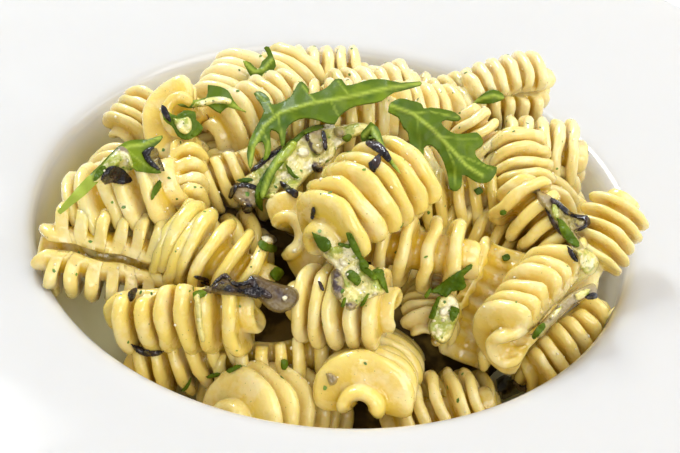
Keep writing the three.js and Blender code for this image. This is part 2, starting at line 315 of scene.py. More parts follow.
def skin_finish():
    made = Finish(
        "aubergine_skin", (0.008, 0.006, 0.009), Roughness=0.25, Coat_Weight=0.5, Coat_Roughness=0.06,
        Specular_IOR_Level=0.2,
    )
    made.lay((0.04, 0.022, 0.018), made.group(patches, Scale=300.0, Detail=4.0))
    made.relief(Broad_Scale=350.0, Fine_Scale=1600.0, Fine_Share=0.3, Strength=0.4, Depth=0.0004)
    return made.material


def flesh_finish():
    """Pale aubergine with green, dark and creamy patches."""
    made = Finish(
        "aubergine_flesh", (0.32, 0.24, 0.11), Roughness=0.38, Coat_Weight=0.6, Coat_Roughness=0.1,
        Subsurface_Weight=0.08, Subsurface_Radius=(1.0, 0.6, 0.3), Subsurface_Scale=0.001,
    )
    made.lay((0.40, 0.33, 0.09), made.group(patches, Scale=120.0, Detail=4.0, From=0.46, To=0.62))
    made.lay((0.06, 0.035, 0.03), made.group(patches, Scale=190.0, Detail=5.0, From=0.54, To=0.62))
    made.lay((0.48, 0.38, 0.19), made.group(patches, Scale=330.0, Detail=4.0, From=0.60, To=0.68))
    made.relief(Broad_Scale=420.0, Fine_Scale=1600.0, Fine_Share=0.5, Strength=0.5, Depth=0.0006)
    return made.material


def cooked_finish():
    """Aubergine fried brown."""
    made = Finish(
        "aubergine_cooked", (0.11, 0.068, 0.026), Roughness=0.4, Coat_Weight=0.4, Coat_Roughness=0.08,
        Specular_IOR_Level=0.2,
    )
    made.lay((0.20, 0.145, 0.05), made.group(patches, Scale=120.0, Detail=4.0, From=0.46, To=0.62))
    made.lay((0.045, 0.026, 0.026), made.group(patches, Scale=170.0, Detail=5.0, From=0.54, To=0.64))
    made.relief(Broad_Scale=420.0, Fine_Scale=1600.0, Fine_Share=0.3, Strength=0.4, Depth=0.0006)
    return made.material


def pesto_finish():
    """Cream with patches of green, white and brown, and specks of herb."""
    made = Finish(
        "creamy_pesto", (0.80, 0.70, 0.24), Roughness=0.3, Coat_Weight=1.0, Coat_Roughness=0.05,
        Subsurface_Weight=0.15, Subsurface_Radius=(1.0, 0.8, 0.3), Subsurface_Scale=0.0015,
    )
    made.lay((0.38, 0.42, 0.05), made.group(patches, Scale=210.0, Detail=5.0, From=0.49, To=0.60))
    made.lay((0.88, 0.80, 0.48), made.group(patches, Scale=270.0, Detail=4.0, From=0.52, To=0.62))
    made.lay((0.22, 0.16, 0.09), made.group(patches, Scale=150.0, Detail=5.0, From=0.59, To=0.70))
    made.lay((0.12, 0.18, 0.015), made.group(specks, Scale=600.0, Size=0.26))
    made.relief(Broad_Scale=420.0, Fine_Scale=1800.0, Fine_Share=0.4, Strength=0.6, Depth=0.0006)
    return made.material


def herb_finish():
    made = Finish("chopped_herb", (0.07, 0.16, 0.015), Roughness=0.4, Coat_Weight=0.3, Coat_Roughness=0.15)
    made.lay((0.16, 0.30, 0.03), made.group(patches, Scale=500.0, Detail=3.0))
    made.relief(Broad_Scale=600.0, Strength=0.4, Depth=0.0003)
    return made.material


def cheese_finish():
    made = Finish(
        "cheese_crumb", (0.84, 0.76, 0.50), Roughness=0.5, Coat_Weight=0.3, Coat_Roughness=0.2,
        Subsurface_Weight=0.2, Subsurface_Radius=(1.0, 0.8, 0.5), Subsurface_Scale=0.001,
    )
    made.lay((0.88, 0.83, 0.62), made.group(patches, Scale=300.0))
    made.relief(Broad_Scale=700.0, Strength=0.5, Depth=0.0004)
    return made.material


def table_finish():
    made = Finish("pale_table", (0.80, 0.80, 0.80), Roughness=0.7)
    made.lay((0.78, 0.78, 0.785), made.group(patches, Scale=5.0))
    return made.material


PORCELAIN = porcelain_finish()
PASTA = pasta_finish()
CORE = core_finish()
LEAF = leaf_finish()
STEM = stem_finish()
SKIN = skin_finish()
FLESH = flesh_finish()
COOKED = cooked_finish()
PESTO = pesto_finish()
HERB = herb_finish()
CHEESE = cheese_finish()
TABLE = table_finish()


# ------------------------------------------------------------------ what every piece needs

def finish_piece(name, bm, material, slot=None, node=None, smooth=True):
    """Makes an object of a mesh in mm, with its faces pointing out.

    With no slot it is part of the stage. With one it rides on the plate's body and stands for a node."""
    bmesh.ops.recalc_face_normals(bm, faces=bm.faces)
    bmesh.ops.scale(bm, vec=(MM, MM, MM), verts=bm.verts)
    mesh = bpy.data.meshes.new(name)
    bm.to_mesh(mesh)
    bm.free()
    mesh.materials.append(material)
    mesh.polygons.foreach_set("use_smooth", [smooth] * len(mesh.polygons))
    piece = bpy.data.objects.new(name, mesh)
    bpy.context.collection.objects.link(piece)
    if slot is None:
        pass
    else:
        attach(piece, "root")
        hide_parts(node)
    return piece


def move_into(bm, part):
    """Adds a finished part of a piece to its mesh."""
    mesh = bpy.data.meshes.new("part")
    part.to_mesh(mesh)
    part.free()
    bm.from_mesh(mesh)
    bpy.data.meshes.remove(mesh)


def turned(outline, steps):
    """A mesh turned about Z, from an outline of (radius, height) that begins and ends on the axis."""
    bm = bmesh.new()
    corners = [bm.verts.new((radius, 0, height)) for radius, height in outline]
    edges = [bm.edges.new(pair) for pair in zip(corners, corners[1:])]
    bmesh.ops.spin(
        bm, geom=corners + edges, axis=(0, 0, 1), cent=(0, 0, 0), dvec=(0, 0, 0),
        angle=2 * math.pi, steps=steps, use_merge=True, use_duplicate=False,
    )
    bmesh.ops.remove_doubles(bm, verts=bm.verts, dist=0.001)
    return bm


def smooth_path(points, steps):
    """A Catmull-Rom curve through the points, with so many steps for each stretch."""
    spots = [Vector(p) for p in points]
    spots = [spots[0] * 2 - spots[1], *spots, spots[-1] * 2 - spots[-2]]
    path = []
    for a, b, c, d in zip(spots, spots[1:], spots[2:], spots[3:]):
        for i in range(steps):
            t = i / steps
            path.append(
                (b * 2 + (c - a) * t + (a * 2 - b * 5 + c * 4 - d) * t * t
                 + (b * 3 - a - c * 3 + d) * t ** 3) / 2
            )
    path.append(spots[-2])
    return path


# ------------------------------------------------------------------ plate

FOOT_RADIUS = 44
FOOT_RECESS = 3
FLOOR_HEIGHT = 7
FLOOR_RADIUS = 44
LIP_RADIUS = 75
LIP_HEIGHT = 45
RIM_RADIUS = 155
RIM_HEIGHT = 49
WALL_RADIUS = LIP_RADIUS - 1  # the wall ends here, and the lip's rounding begins
WALL_TOP = LIP_HEIGHT - 3
WALL_STEPS = 14
PLATE_STEPS = 192
OIL_AND_BOUNCE_TOP = 41  # how high the wall is painted yellow: a layer of oil, and partly painted yellow bounce light from the pasta
OIL_AND_BOUNCE_EDGE = 0.2  # share of the wall over which the yellow grows to its strength
OIL_AND_BOUNCE_STRENGTH = 0.9
OIL_AND_BOUNCE_SIDE = Vector((-0.5, -0.87, 0))  # where the layer of oil and the painted bounce light are strongest
OIL_AND_BOUNCE_ALL_ROUND = 0.75
WELL_LIGHT_FADE = 6  # how far below the lip the painted light that whitens the well reaches its full strength

# Stretches of the outline as (radius, height), from the place that each is named for.
LIP_CURVE = [(-1, -3), (-0.4, -1.4), (0.8, -0.1), (3, 0.8), (8, 1.2), (25, 1.9)]
RIM_CURVE = [(-7, -0.2), (-3, 0), (-0.8, -0.5), (0, -1.8), (-0.6, -3.1), (-3, -4)]
FOOT_CURVE = [(2.3, 1.6), (2, 0.5), (1.5, 0), (-1.5, 0), (-2, 0.5), (-2.3, 1.8), (-3.5, 3), (-24, 3)]
UNDER_CURVE = [(140, 44.4), (100, 42.0), (83, 40.6), (78.5, 36.5), (73, 21), (60, 7.4), (50, 3.6), (47.5, 3)]


def wall_radius(height):
    """How far out the inside of the bowl is at a height."""
    rise = min(1.0, max(0.0, (height - FLOOR_HEIGHT) / (WALL_TOP - FLOOR_HEIGHT)))
    return FLOOR_RADIUS + (WALL_RADIUS - FLOOR_RADIUS) * math.sqrt(1 - (1 - rise) ** 2)


def placed(curve, radius, height):
    return [(radius + out, height + up) for out, up in curve]


def plate_outline():
    """Half of the plate cut through its middle, from the top of its floor round to the bottom."""
    outline = [(0, FLOOR_HEIGHT), (FLOOR_RADIUS / 2, FLOOR_HEIGHT)]
    for i in range(WALL_STEPS + 1):
        turn = i / WALL_STEPS * math.pi / 2
        radius = FLOOR_RADIUS + (WALL_RADIUS - FLOOR_RADIUS) * math.sin(turn)
        outline.append((radius, FLOOR_HEIGHT + (WALL_TOP - FLOOR_HEIGHT) * (1 - math.cos(turn))))
    outline += smooth_path(placed(LIP_CURVE, LIP_RADIUS, LIP_HEIGHT), 4)[1:]
    outline += smooth_path(placed(RIM_CURVE, RIM_RADIUS, RIM_HEIGHT), 4)
    outline += smooth_path(UNDER_CURVE, 5)
    outline += placed(FOOT_CURVE, FOOT_RADIUS, 0)
    return [*outline, (0, FOOT_RECESS)]


def paint_well(bm):
    """Marks where the well is painted whiter as painted light, and where its wall has the yellow layer of
    oil that is partly painted bounce light.
    """
    oil_and_bounce = bm.verts.layers.float.new("oil_and_bounce_light")
    well_light = bm.verts.layers.float.new("well_painted_light")
    for v in bm.verts:
        if math.hypot(v.co.x, v.co.y) > wall_radius(v.co.z) + 1:
            continue
        # Painted light: whiter below the lip.
        v[well_light] = min(1.0, max(0.0, (LIP_HEIGHT - v.co.z) / WELL_LIGHT_FADE))
        # Painted bounce light and a layer of oil: yellow on the lower wall, strongest on one side.
        depth = (OIL_AND_BOUNCE_TOP - v.co.z) / (OIL_AND_BOUNCE_TOP - FLOOR_HEIGHT)
        if depth > 0:
            side = OIL_AND_BOUNCE_ALL_ROUND + Vector((v.co.x, v.co.y, 0)).normalized().dot(OIL_AND_BOUNCE_SIDE)
            v[oil_and_bounce] = OIL_AND_BOUNCE_STRENGTH * min(1.0, depth / OIL_AND_BOUNCE_EDGE) * min(1.0, max(0.0, side))


def add_plate():
    """The plate. Gives what a line of sight can meet of it."""
    bm = turned(plate_outline(), PLATE_STEPS)
    paint_well(bm)
    tree = BVHTree.FromBMesh(bm)
    finish_piece("porcelain_plate", bm, PORCELAIN, "porcelain", "plate")
    return tree


# ------------------------------------------------------------------ radiatori

class Radiatore(NamedTuple):
    """Where the middle of a piece lies in mm, how it is turned in degrees, and its make."""
    x: float
    y: float
    z: float
    heading: float  # of its axis
    tilt: float  # how much its axis rises
    roll: float  # of its finned side about the axis: 0 is up
    fins: int
    size: float
    reach: float = 0  # degrees that the tube goes round to each side, and 0 leaves it to chance
    wider: float = 0  # how much wider than others its tube is, in mm
    stretch: float = 1  # along its axis
    gap: float = 0  # share of the pitch that is gap on each side of a fin, and 0 leaves it to chance


HEAP = {
    "front_row": {
        "front_left": Radiatore(-31, -43, 47, -5, 10, 135, 6, 1.04),
        "front_cap": Radiatore(-8, -57, 26, 45, -30, 5, 6, 1.06, reach=160),
        "front_scroll": Radiatore(13, -48, 31, 80, -30, -15, 7, 1.08, reach=130, wider=-0.8),
        "front_ribbed": Radiatore(29, -52, 26, 15, 10, 10, 5, 0.92),
        "front_middle": Radiatore(5, -42, 48, -15, 15, 10, 5, 0.9, reach=150),
    },
    "left_side": {
        "left_comb": Radiatore(-51, -32, 48, 0, -5, -129, 6, 0.97, reach=167, gap=0.17),
        "left_big": Radiatore(-49, -19, 54, 5, 30, 55, 5, 1.05),
        "left_bars": Radiatore(-27, -30, 48, -20, -12, 60, 5, 0.98, reach=130, stretch=1.1, gap=0.22),
        "left_lobe": Radiatore(-32, -28, 51, -25, -8, 65, 2, 0.9, reach=150, stretch=0.9, gap=0.03),
        "left_knuckle": Radiatore(-40, -11, 55, 100, 20, 140, 4, 0.85),
        "left_scroll": Radiatore(-36, 12, 53, 65, -50, -120, 6, 1.05),
        "left_far": Radiatore(-54, 24, 47, 65, 15, 25, 4, 0.72),
        "left_of_leaf": Radiatore(-21, 19, 56, 40, 5, 40, 6, 0.9),
    },
    "middle": {
        "top": Radiatore(8, -24, 65, 50, 10, -25, 6, 1.02, reach=150),
        "middle_comb": Radiatore(21, -25, 53, -8, 0, 95, 4, 0.85, reach=150, stretch=1.4, gap=0.23),
        "middle_dark": Radiatore(27, 4, 46, 5, 10, 90, 7, 0.9),
        "middle_trough": Radiatore(38, -31, 44, 65, 42, 185, 6, 0.88, reach=126, wider=2.0),
        "middle_coated": Radiatore(25, -31, 38, 85, 0, 25, 5, 0.65),
        "middle_hole": Radiatore(-7, -15, 44, 70, -40, 50, 6, 1.0),
        "left_teeth": Radiatore(-28, 0, 53, 25, 15, 135, 6, 0.85),
    },
    "right_side": {
        "right_front": Radiatore(50, -37, 48, 60, 5, -80, 6, 0.97, reach=115),
        "right_slope": Radiatore(55, -13, 53, -45, -25, 115, 6, 1.0),
        "right_on_lip": Radiatore(65, -14, 54, 60, 30, 25, 5, 0.75, reach=125, gap=0.26),
        "right_front_below": Radiatore(56, -30, 34, 45, 15, 115, 6, 0.85),
        "right_edge": Radiatore(54, 15, 43, 75, 20, 10, 5, 0.85),
    },
    "back": {
        "back_left": Radiatore(-31, 36, 50, 75, 5, 20, 5, 0.88),
        "back_left_top": Radiatore(-19, 39, 50, 65, 5, 25, 6, 0.88),
        "back_edge": Radiatore(-8, 52, 48, 10, 0, 10, 6, 0.85),
        "back_middle": Radiatore(7, 39, 52, 25, 0, -10, 6, 0.82),
        "back_right_top": Radiatore(43, 42, 57, 20, 10, -60, 6, 0.8, reach=140),
        "back_right": Radiatore(43, 43, 53, 15, 5, 145, 5, 0.85),
        "back_right_row": Radiatore(52, 21, 52, 0, 0, 30, 5, 0.85),
        "back_right_small": Radiatore(46, 10, 55, 105, 30, -15, 4, 0.75),
        "behind_top": Radiatore(-1, 19, 58, 10, 0, 50, 6, 0.92),
        "under_broad_leaf": Radiatore(39, 17, 54, -35, -35, 100, 6, 0.75),
        "under_long_leaf": Radiatore(22, 31, 53, 25, -15, 55, 6, 0.85),
        "back_gap": Radiatore(29, 44, 49, 30, 5, 45, 5, 0.75),
    },
    "lower_front": {
        "front_left_below": Radiatore(-30, -44, 33, 10, 15, 135, 6, 0.9),
        "front_comb": Radiatore(-11, -43, 33, 5, 5, 130, 6, 1.0),
        "deep_front_right": Radiatore(47, -28, 26, 130, 0, 30, 6, 0.85),
        "deep_front": Radiatore(31, -46, 22, 20, 0, 0, 6, 0.8),
        "deep_front_left": Radiatore(-14, -44, 22, 170, 0, 10, 6, 0.9),
        "deep_left": Radiatore(-50, -20, 36, 150, 0, 20, 6, 0.9),
        "deep_middle_left": Radiatore(-30, -18, 38, 20, 0, 30, 6, 0.95),
        "deep_middle": Radiatore(2, -30, 38, 100, -10, 40, 6, 0.95),
        "deep_middle_right": Radiatore(26, -12, 34, 150, 0, 0, 6, 0.9),
        "under_slope": Radiatore(41, -3, 40, 150, 0, 10, 6, 0.9),
        "deep_right": Radiatore(54, -6, 36, 70, 0, 30, 6, 0.85),
    },
    "lower_back": {
        "below_left": Radiatore(-56, 2, 38, 85, 0, 20, 6, 0.9),
        "below_back_left": Radiatore(-44, 36, 38, 40, 0, 0, 6, 0.9),
        "below_back": Radiatore(-24, 54, 38, 160, 0, -20, 6, 0.9),
        "below_back_right": Radiatore(12, 58, 38, 5, 0, 40, 6, 0.9),
        "below_right": Radiatore(36, 48, 36, 145, 0, 10, 6, 0.9),
        "below_right_edge": Radiatore(56, 24, 34, 110, 0, 0, 6, 0.9),
        "under_middle": Radiatore(8, 2, 46, 160, 5, 30, 6, 0.95),
        "under_left": Radiatore(-30, 14, 42, 100, 0, 10, 6, 0.95),
        "under_right": Radiatore(29, 12, 45, 20, 0, 10, 6, 0.95),
        "under_back": Radiatore(4, 34, 42, 75, 0, 0, 6, 0.95),
        "under_clump": Radiatore(-12, 8, 46, 30, 0, 20, 6, 0.9),
    },
}

FIN_PITCH = 4.7
FIN_HEIGHT = 6.4
FIN_ARC_STEPS = 6
TUBE_RADIUS = 5.7
TUBE_WALL = 3.0
TURN_STEPS = 34
STUB = 2.8  # how far the tube goes on past the last fin
INNER_WAVE = 0.6  # the inside of the tube is ribbed, a rib below each fin
INNER_STEPS = 4
INNER_SHADE = 0.85  # how much painted shade the inside of the tube has, where the bottoms of the gaps between fins have 1
# painted shade on the ends of the tube and the edges of its opening
STUB_SHADE = 0.15
PALE_BEHIND = 60  # mm behind the middle over which the pieces are painted paler, as painted light at the back of the heap
MOST_PALE_BEHIND = 0.6

# How a piece gives way as it cooks. Its sides go from 0 in the middle to 1 at the tube's edge.
FIN_DOME = 0.18  # how much lower a fin is at its sides
FIN_RUN_OUT = 0.15  # share of a side over which a fin ends
END_FIN_DROP = 0.10  # how much lower the first and the last fin are
FIN_WAVE = 0.07
LEAN_WAVE = 0.9
SHADE_TO = 0.88  # the side up to which the gaps between fins have painted shade
THIN_FROM = 0.9  # the side from which the wall rounds off
THINNEST = 0.35
EDGE_CURL = 0.05
CORNER_FROM = 0.6
CORNER_ROUNDING = 0.2  # how much shorter the edges of the opening are than the middle
BROAD_DENTS, FINE_DENTS = 0.7, 0.22

# What cooking leaves to chance, from and to.
REACHES = (118, 134)  # of the tube, in degrees
GAPS = (0.14, 0.18)
FIN_SIZES = (0.90, 1.06)
FIN_LEANS = (-0.9, 0.9)  # in mm
FIN_REACHES = (0.82, 0.90)  # share of the tube's reach
BENDS = (-1.6, 1.6)  # in mm
TWISTS = (-14, 14)  # in degrees
HEIGHTS = (0.92, 1.04)
TINTS = (0, 0.4)
GRAINS = (0, 90)  # places in the noise


def fin_outline(side):
    """A fin cut across, as (share of the pitch, share of the height): a thick blade with a round edge.

    side is how much of the pitch is gap on each side of it."""
    rounding = 0.70
    flank = [(side * 0.7, 0.0), (side - 0.01, 0.14), (side + 0.005, 0.45)]
    edge = []
    for i in range(FIN_ARC_STEPS + 1):
        turn = math.pi * i / FIN_ARC_STEPS
        edge.append((0.5 - (0.5 - side) * math.cos(turn), rounding + (1 - rounding) * math.sin(turn)))
    return [*flank, *edge, *[(1 - across, height) for across, height in reversed(flank)]]


def comb_outline(fins, gap):
    """A radiatore's wall cut along its axis, as a closed line of (along the axis, radius)."""
    end = fins * FIN_PITCH / 2
    stub = [(end + 0.3, 0.0), (end + STUB * 0.7, -0.1), (end + STUB * 0.95, -0.6), (end + STUB, -1.3),
            (end + STUB * 0.9, -2.0), (end + STUB * 0.6, -TUBE_WALL)]
    line = [(-along, height) for along, height in reversed(stub)]
    for fin in range(fins):
        for share, height in fin_outline(gap):
            line.append((-end + (fin + share) * FIN_PITCH, height * FIN_HEIGHT))
    line += stub
    steps = INNER_STEPS * fins
    for i in range(steps + 1):
        wave = INNER_WAVE * math.cos(2 * math.pi / INNER_STEPS * i)
        line.append((end - 2 * end * i / steps, -TUBE_WALL + wave))
    return [(along, TUBE_RADIUS + height) for along, height in line]


def sweep_comb(bm, fins, opening, gap):
    """Sweeps the comb outline about X, from one edge of the opening to the other."""
    start = Matrix.Rotation(-opening, 3, "X")
    loop = [bm.verts.new(start @ Vector((along, 0, radius))) for along, radius in comb_outline(fins, gap)]
    edges = [bm.edges.new((a, b)) for a, b in zip(loop, loop[1:] + loop[:1])]
    swept = bmesh.ops.spin(
        bm, geom=loop + edges, axis=(1, 0, 0), cent=(0, 0, 0), dvec=(0, 0, 0),
        angle=2 * opening, steps=TURN_STEPS, use_merge=False, use_duplicate=False,
    )
    last_edges = [e for e in swept["geom_last"] if isinstance(e, bmesh.types.BMEdge)]
    ends = []
    for rim in (edges, last_edges):
        ends += bmesh.ops.contextual_create(bm, geom=rim)["faces"]
    bmesh.ops.triangulate(bm, faces=ends)


def fin_rise(side, reach):
    """The height of a fin towards the edge of the tube: 1 in the middle and 0 past its reach."""
    if side >= reach:
        return 0.0
    over = max(0.0, side - (reach - FIN_RUN_OUT)) / FIN_RUN_OUT
    return (1 - FIN_DOME * side * side) * math.sqrt(1 - over * over)


def painted_gap_shade(along, radius, side, share, end):
    """How much painted shade a point of the plain comb has: most at the bottoms of the gaps between fins,
    and inside the tube.
    """
    if radius < TUBE_RADIUS - TUBE_WALL + 0.5:
        return INNER_SHADE
    if radius > TUBE_RADIUS - 0.05 and abs(along) < end and side < SHADE_TO:
        return 1 - min(1.0, share * 1.25)
    return STUB_SHADE


def shape_radiatore(verts, fins, opening, wider, layers):
    """Turns the plain swept comb into a cooked piece: fins that lean, swell and run out."""
    gap_shade, tone_and_back_light = layers
    end = fins * FIN_PITCH / 2
    fin_size = [draw.uniform(*FIN_SIZES) for _ in range(fins)]
    fin_lean = [draw.uniform(*FIN_LEANS) for _ in range(fins)]
    fin_reach = [draw.uniform(*FIN_REACHES) for _ in range(fins)]
    bend = draw.uniform(*BENDS)
    twist = math.radians(draw.uniform(*TWISTS))
    flatten = draw.uniform(*HEIGHTS)
    shade = draw.uniform(*TINTS)
    grain = Vector([draw.uniform(*GRAINS) for _ in range(3)])
    for v in verts:
        along, radius, turn = v.co.x, math.hypot(v.co.y, v.co.z), math.atan2(-v.co.y, v.co.z)
        side = abs(turn) / opening
        share = max(0.0, radius - TUBE_RADIUS) / FIN_HEIGHT
        fin = min(fins - 1, max(0, int((along + end) / FIN_PITCH)))
        # Painted shade for the gaps between fins and the inside of the tube.
        v[gap_shade] = painted_gap_shade(along, radius, side, share, end)
        # Random tone of the piece, to which painted light is added for pieces at the back.
        v[tone_and_back_light] = shade
        if share > 0:
            from_middle = abs((fin + 0.5) / fins - 0.5) * 2
            rise = fin_rise(side, fin_reach[fin]) * fin_size[fin] * (1 - END_FIN_DROP * from_middle ** 3)
            wave = noise.noise(Vector((turn * 1.6, fin * 3.7, 0)) + grain)
            radius = TUBE_RADIUS + FIN_HEIGHT * share * rise * (1 + FIN_WAVE * wave)
            along += share * (fin_lean[fin] * math.cos(turn) + LEAN_WAVE * wave)
        middle = TUBE_RADIUS - TUBE_WALL / 2
        edge = min(1.0, max(0.0, (side - THIN_FROM) / (1 - THIN_FROM)))
        radius = middle + (radius - middle) * max(THINNEST, math.sqrt(1 - edge * edge)) + wider
        turn += EDGE_CURL * side * math.sin(along * 0.45 + grain.x)
        along *= 1 - CORNER_ROUNDING * max(0.0, (side - CORNER_FROM) / (1 - CORNER_FROM)) ** 2
        away = along / end
        turn += twist * away
        v.co = (along, -radius * math.sin(turn), radius * math.cos(turn) * flatten - bend * away * away)
        broad, fine = noise.noise_vector(v.co * 0.09 + grain), noise.noise_vector(v.co * 0.35 + grain)
        v.co += broad * BROAD_DENTS + fine * FINE_DENTS


BOWL_CLEARANCE = 0.5
LIP_CROWN = 1.2  # how much higher than the lip the rim is, past the lip's rounding
LIP_ROUNDING = 3  # how far out the lip's rounding goes
LIP_SLOPE = 0.4


def keep_in_bowl(v):
    """Moves a point that is in the plate to just over its surface."""
    out = math.hypot(v.co.x, v.co.y)
    if v.co.z < WALL_TOP:
        limit = wall_radius(v.co.z) - BOWL_CLEARANCE
        if out > limit:
            v.co.x *= limit / out
            v.co.y *= limit / out
        v.co.z = max(v.co.z, FLOOR_HEIGHT + BOWL_CLEARANCE)
    elif out > WALL_RADIUS - BOWL_CLEARANCE:
        drop = max(0.0, LIP_RADIUS + LIP_ROUNDING - out) * LIP_SLOPE
        v.co.z = max(v.co.z, LIP_HEIGHT + LIP_CROWN + BOWL_CLEARANCE - drop)


def cooked_radiatore(row):
    """One cooked piece at its place in the heap, as an open mesh in mm."""
    opening = math.radians(row.reach or draw.uniform(*REACHES))
    gap = row.gap or draw.uniform(*GAPS)
    bm = bmesh.new()
    gap_shade, tone_and_back_light = bm.verts.layers.float.new("gap_shade"), bm.verts.layers.float.new("tone_and_back_light")
    sweep_comb(bm, row.fins, opening, gap)
    shape_radiatore(bm.verts, row.fins, opening, row.wider, (gap_shade, tone_and_back_light))
    place = (
        Matrix.Translation((row.x, row.y, row.z)) @ Matrix.Rotation(math.radians(row.heading), 4, "Z")
        @ Matrix.Rotation(math.radians(-row.tilt), 4, "Y") @ Matrix.Rotation(math.radians(row.roll), 4, "X")
        @ Matrix.Diagonal((row.size * row.stretch, row.size, row.size, 1))
    )
    bmesh.ops.transform(bm, matrix=place, verts=bm.verts)
    for v in bm.verts:
        keep_in_bowl(v)
        # Painted light: the further back a point is, the paler it is painted.
        v[tone_and_back_light] += min(MOST_PALE_BEHIND, max(0.0, v.co.y / PALE_BEHIND))
    return bm


def add_heap():
    """The pieces of pasta, a mesh for each part of the heap. Gives what a line of sight can meet."""
    trees = []
    for part, rows in HEAP.items():
        bm = bmesh.new()
        for row in rows.values():
            move_into(bm, cooked_radiatore(row))
        bmesh.ops.recalc_face_normals(bm, faces=bm.faces)
        trees.append(BVHTree.FromBMesh(bm))
        finish_piece(f"radiatori_{part}", bm, PASTA, "pasta", "radiatori_heap")
    return trees


CORE_OUTLINE = [(0, 9), (40, 9.5), (50, 14), (52, 19), (46, 24), (34, 29), (20, 33), (0, 34)]
CORE_STEPS = 72
CORE_UNEVENNESS = 3


def add_core():
    """What lies deep in the heap, in shadow between the pieces: near black, as painted shade."""
    bm = turned(smooth_path(CORE_OUTLINE, 4), CORE_STEPS)
    for v in bm.verts:
        v.co += noise.noise_vector(v.co * 0.1) * CORE_UNEVENNESS
        keep_in_bowl(v)
    tree = BVHTree.FromBMesh(bm)
    finish_piece("core_of_heap", bm, CORE, "pasta", "radiatori_heap")
    return tree


# ------------------------------------------------------------------ leaves

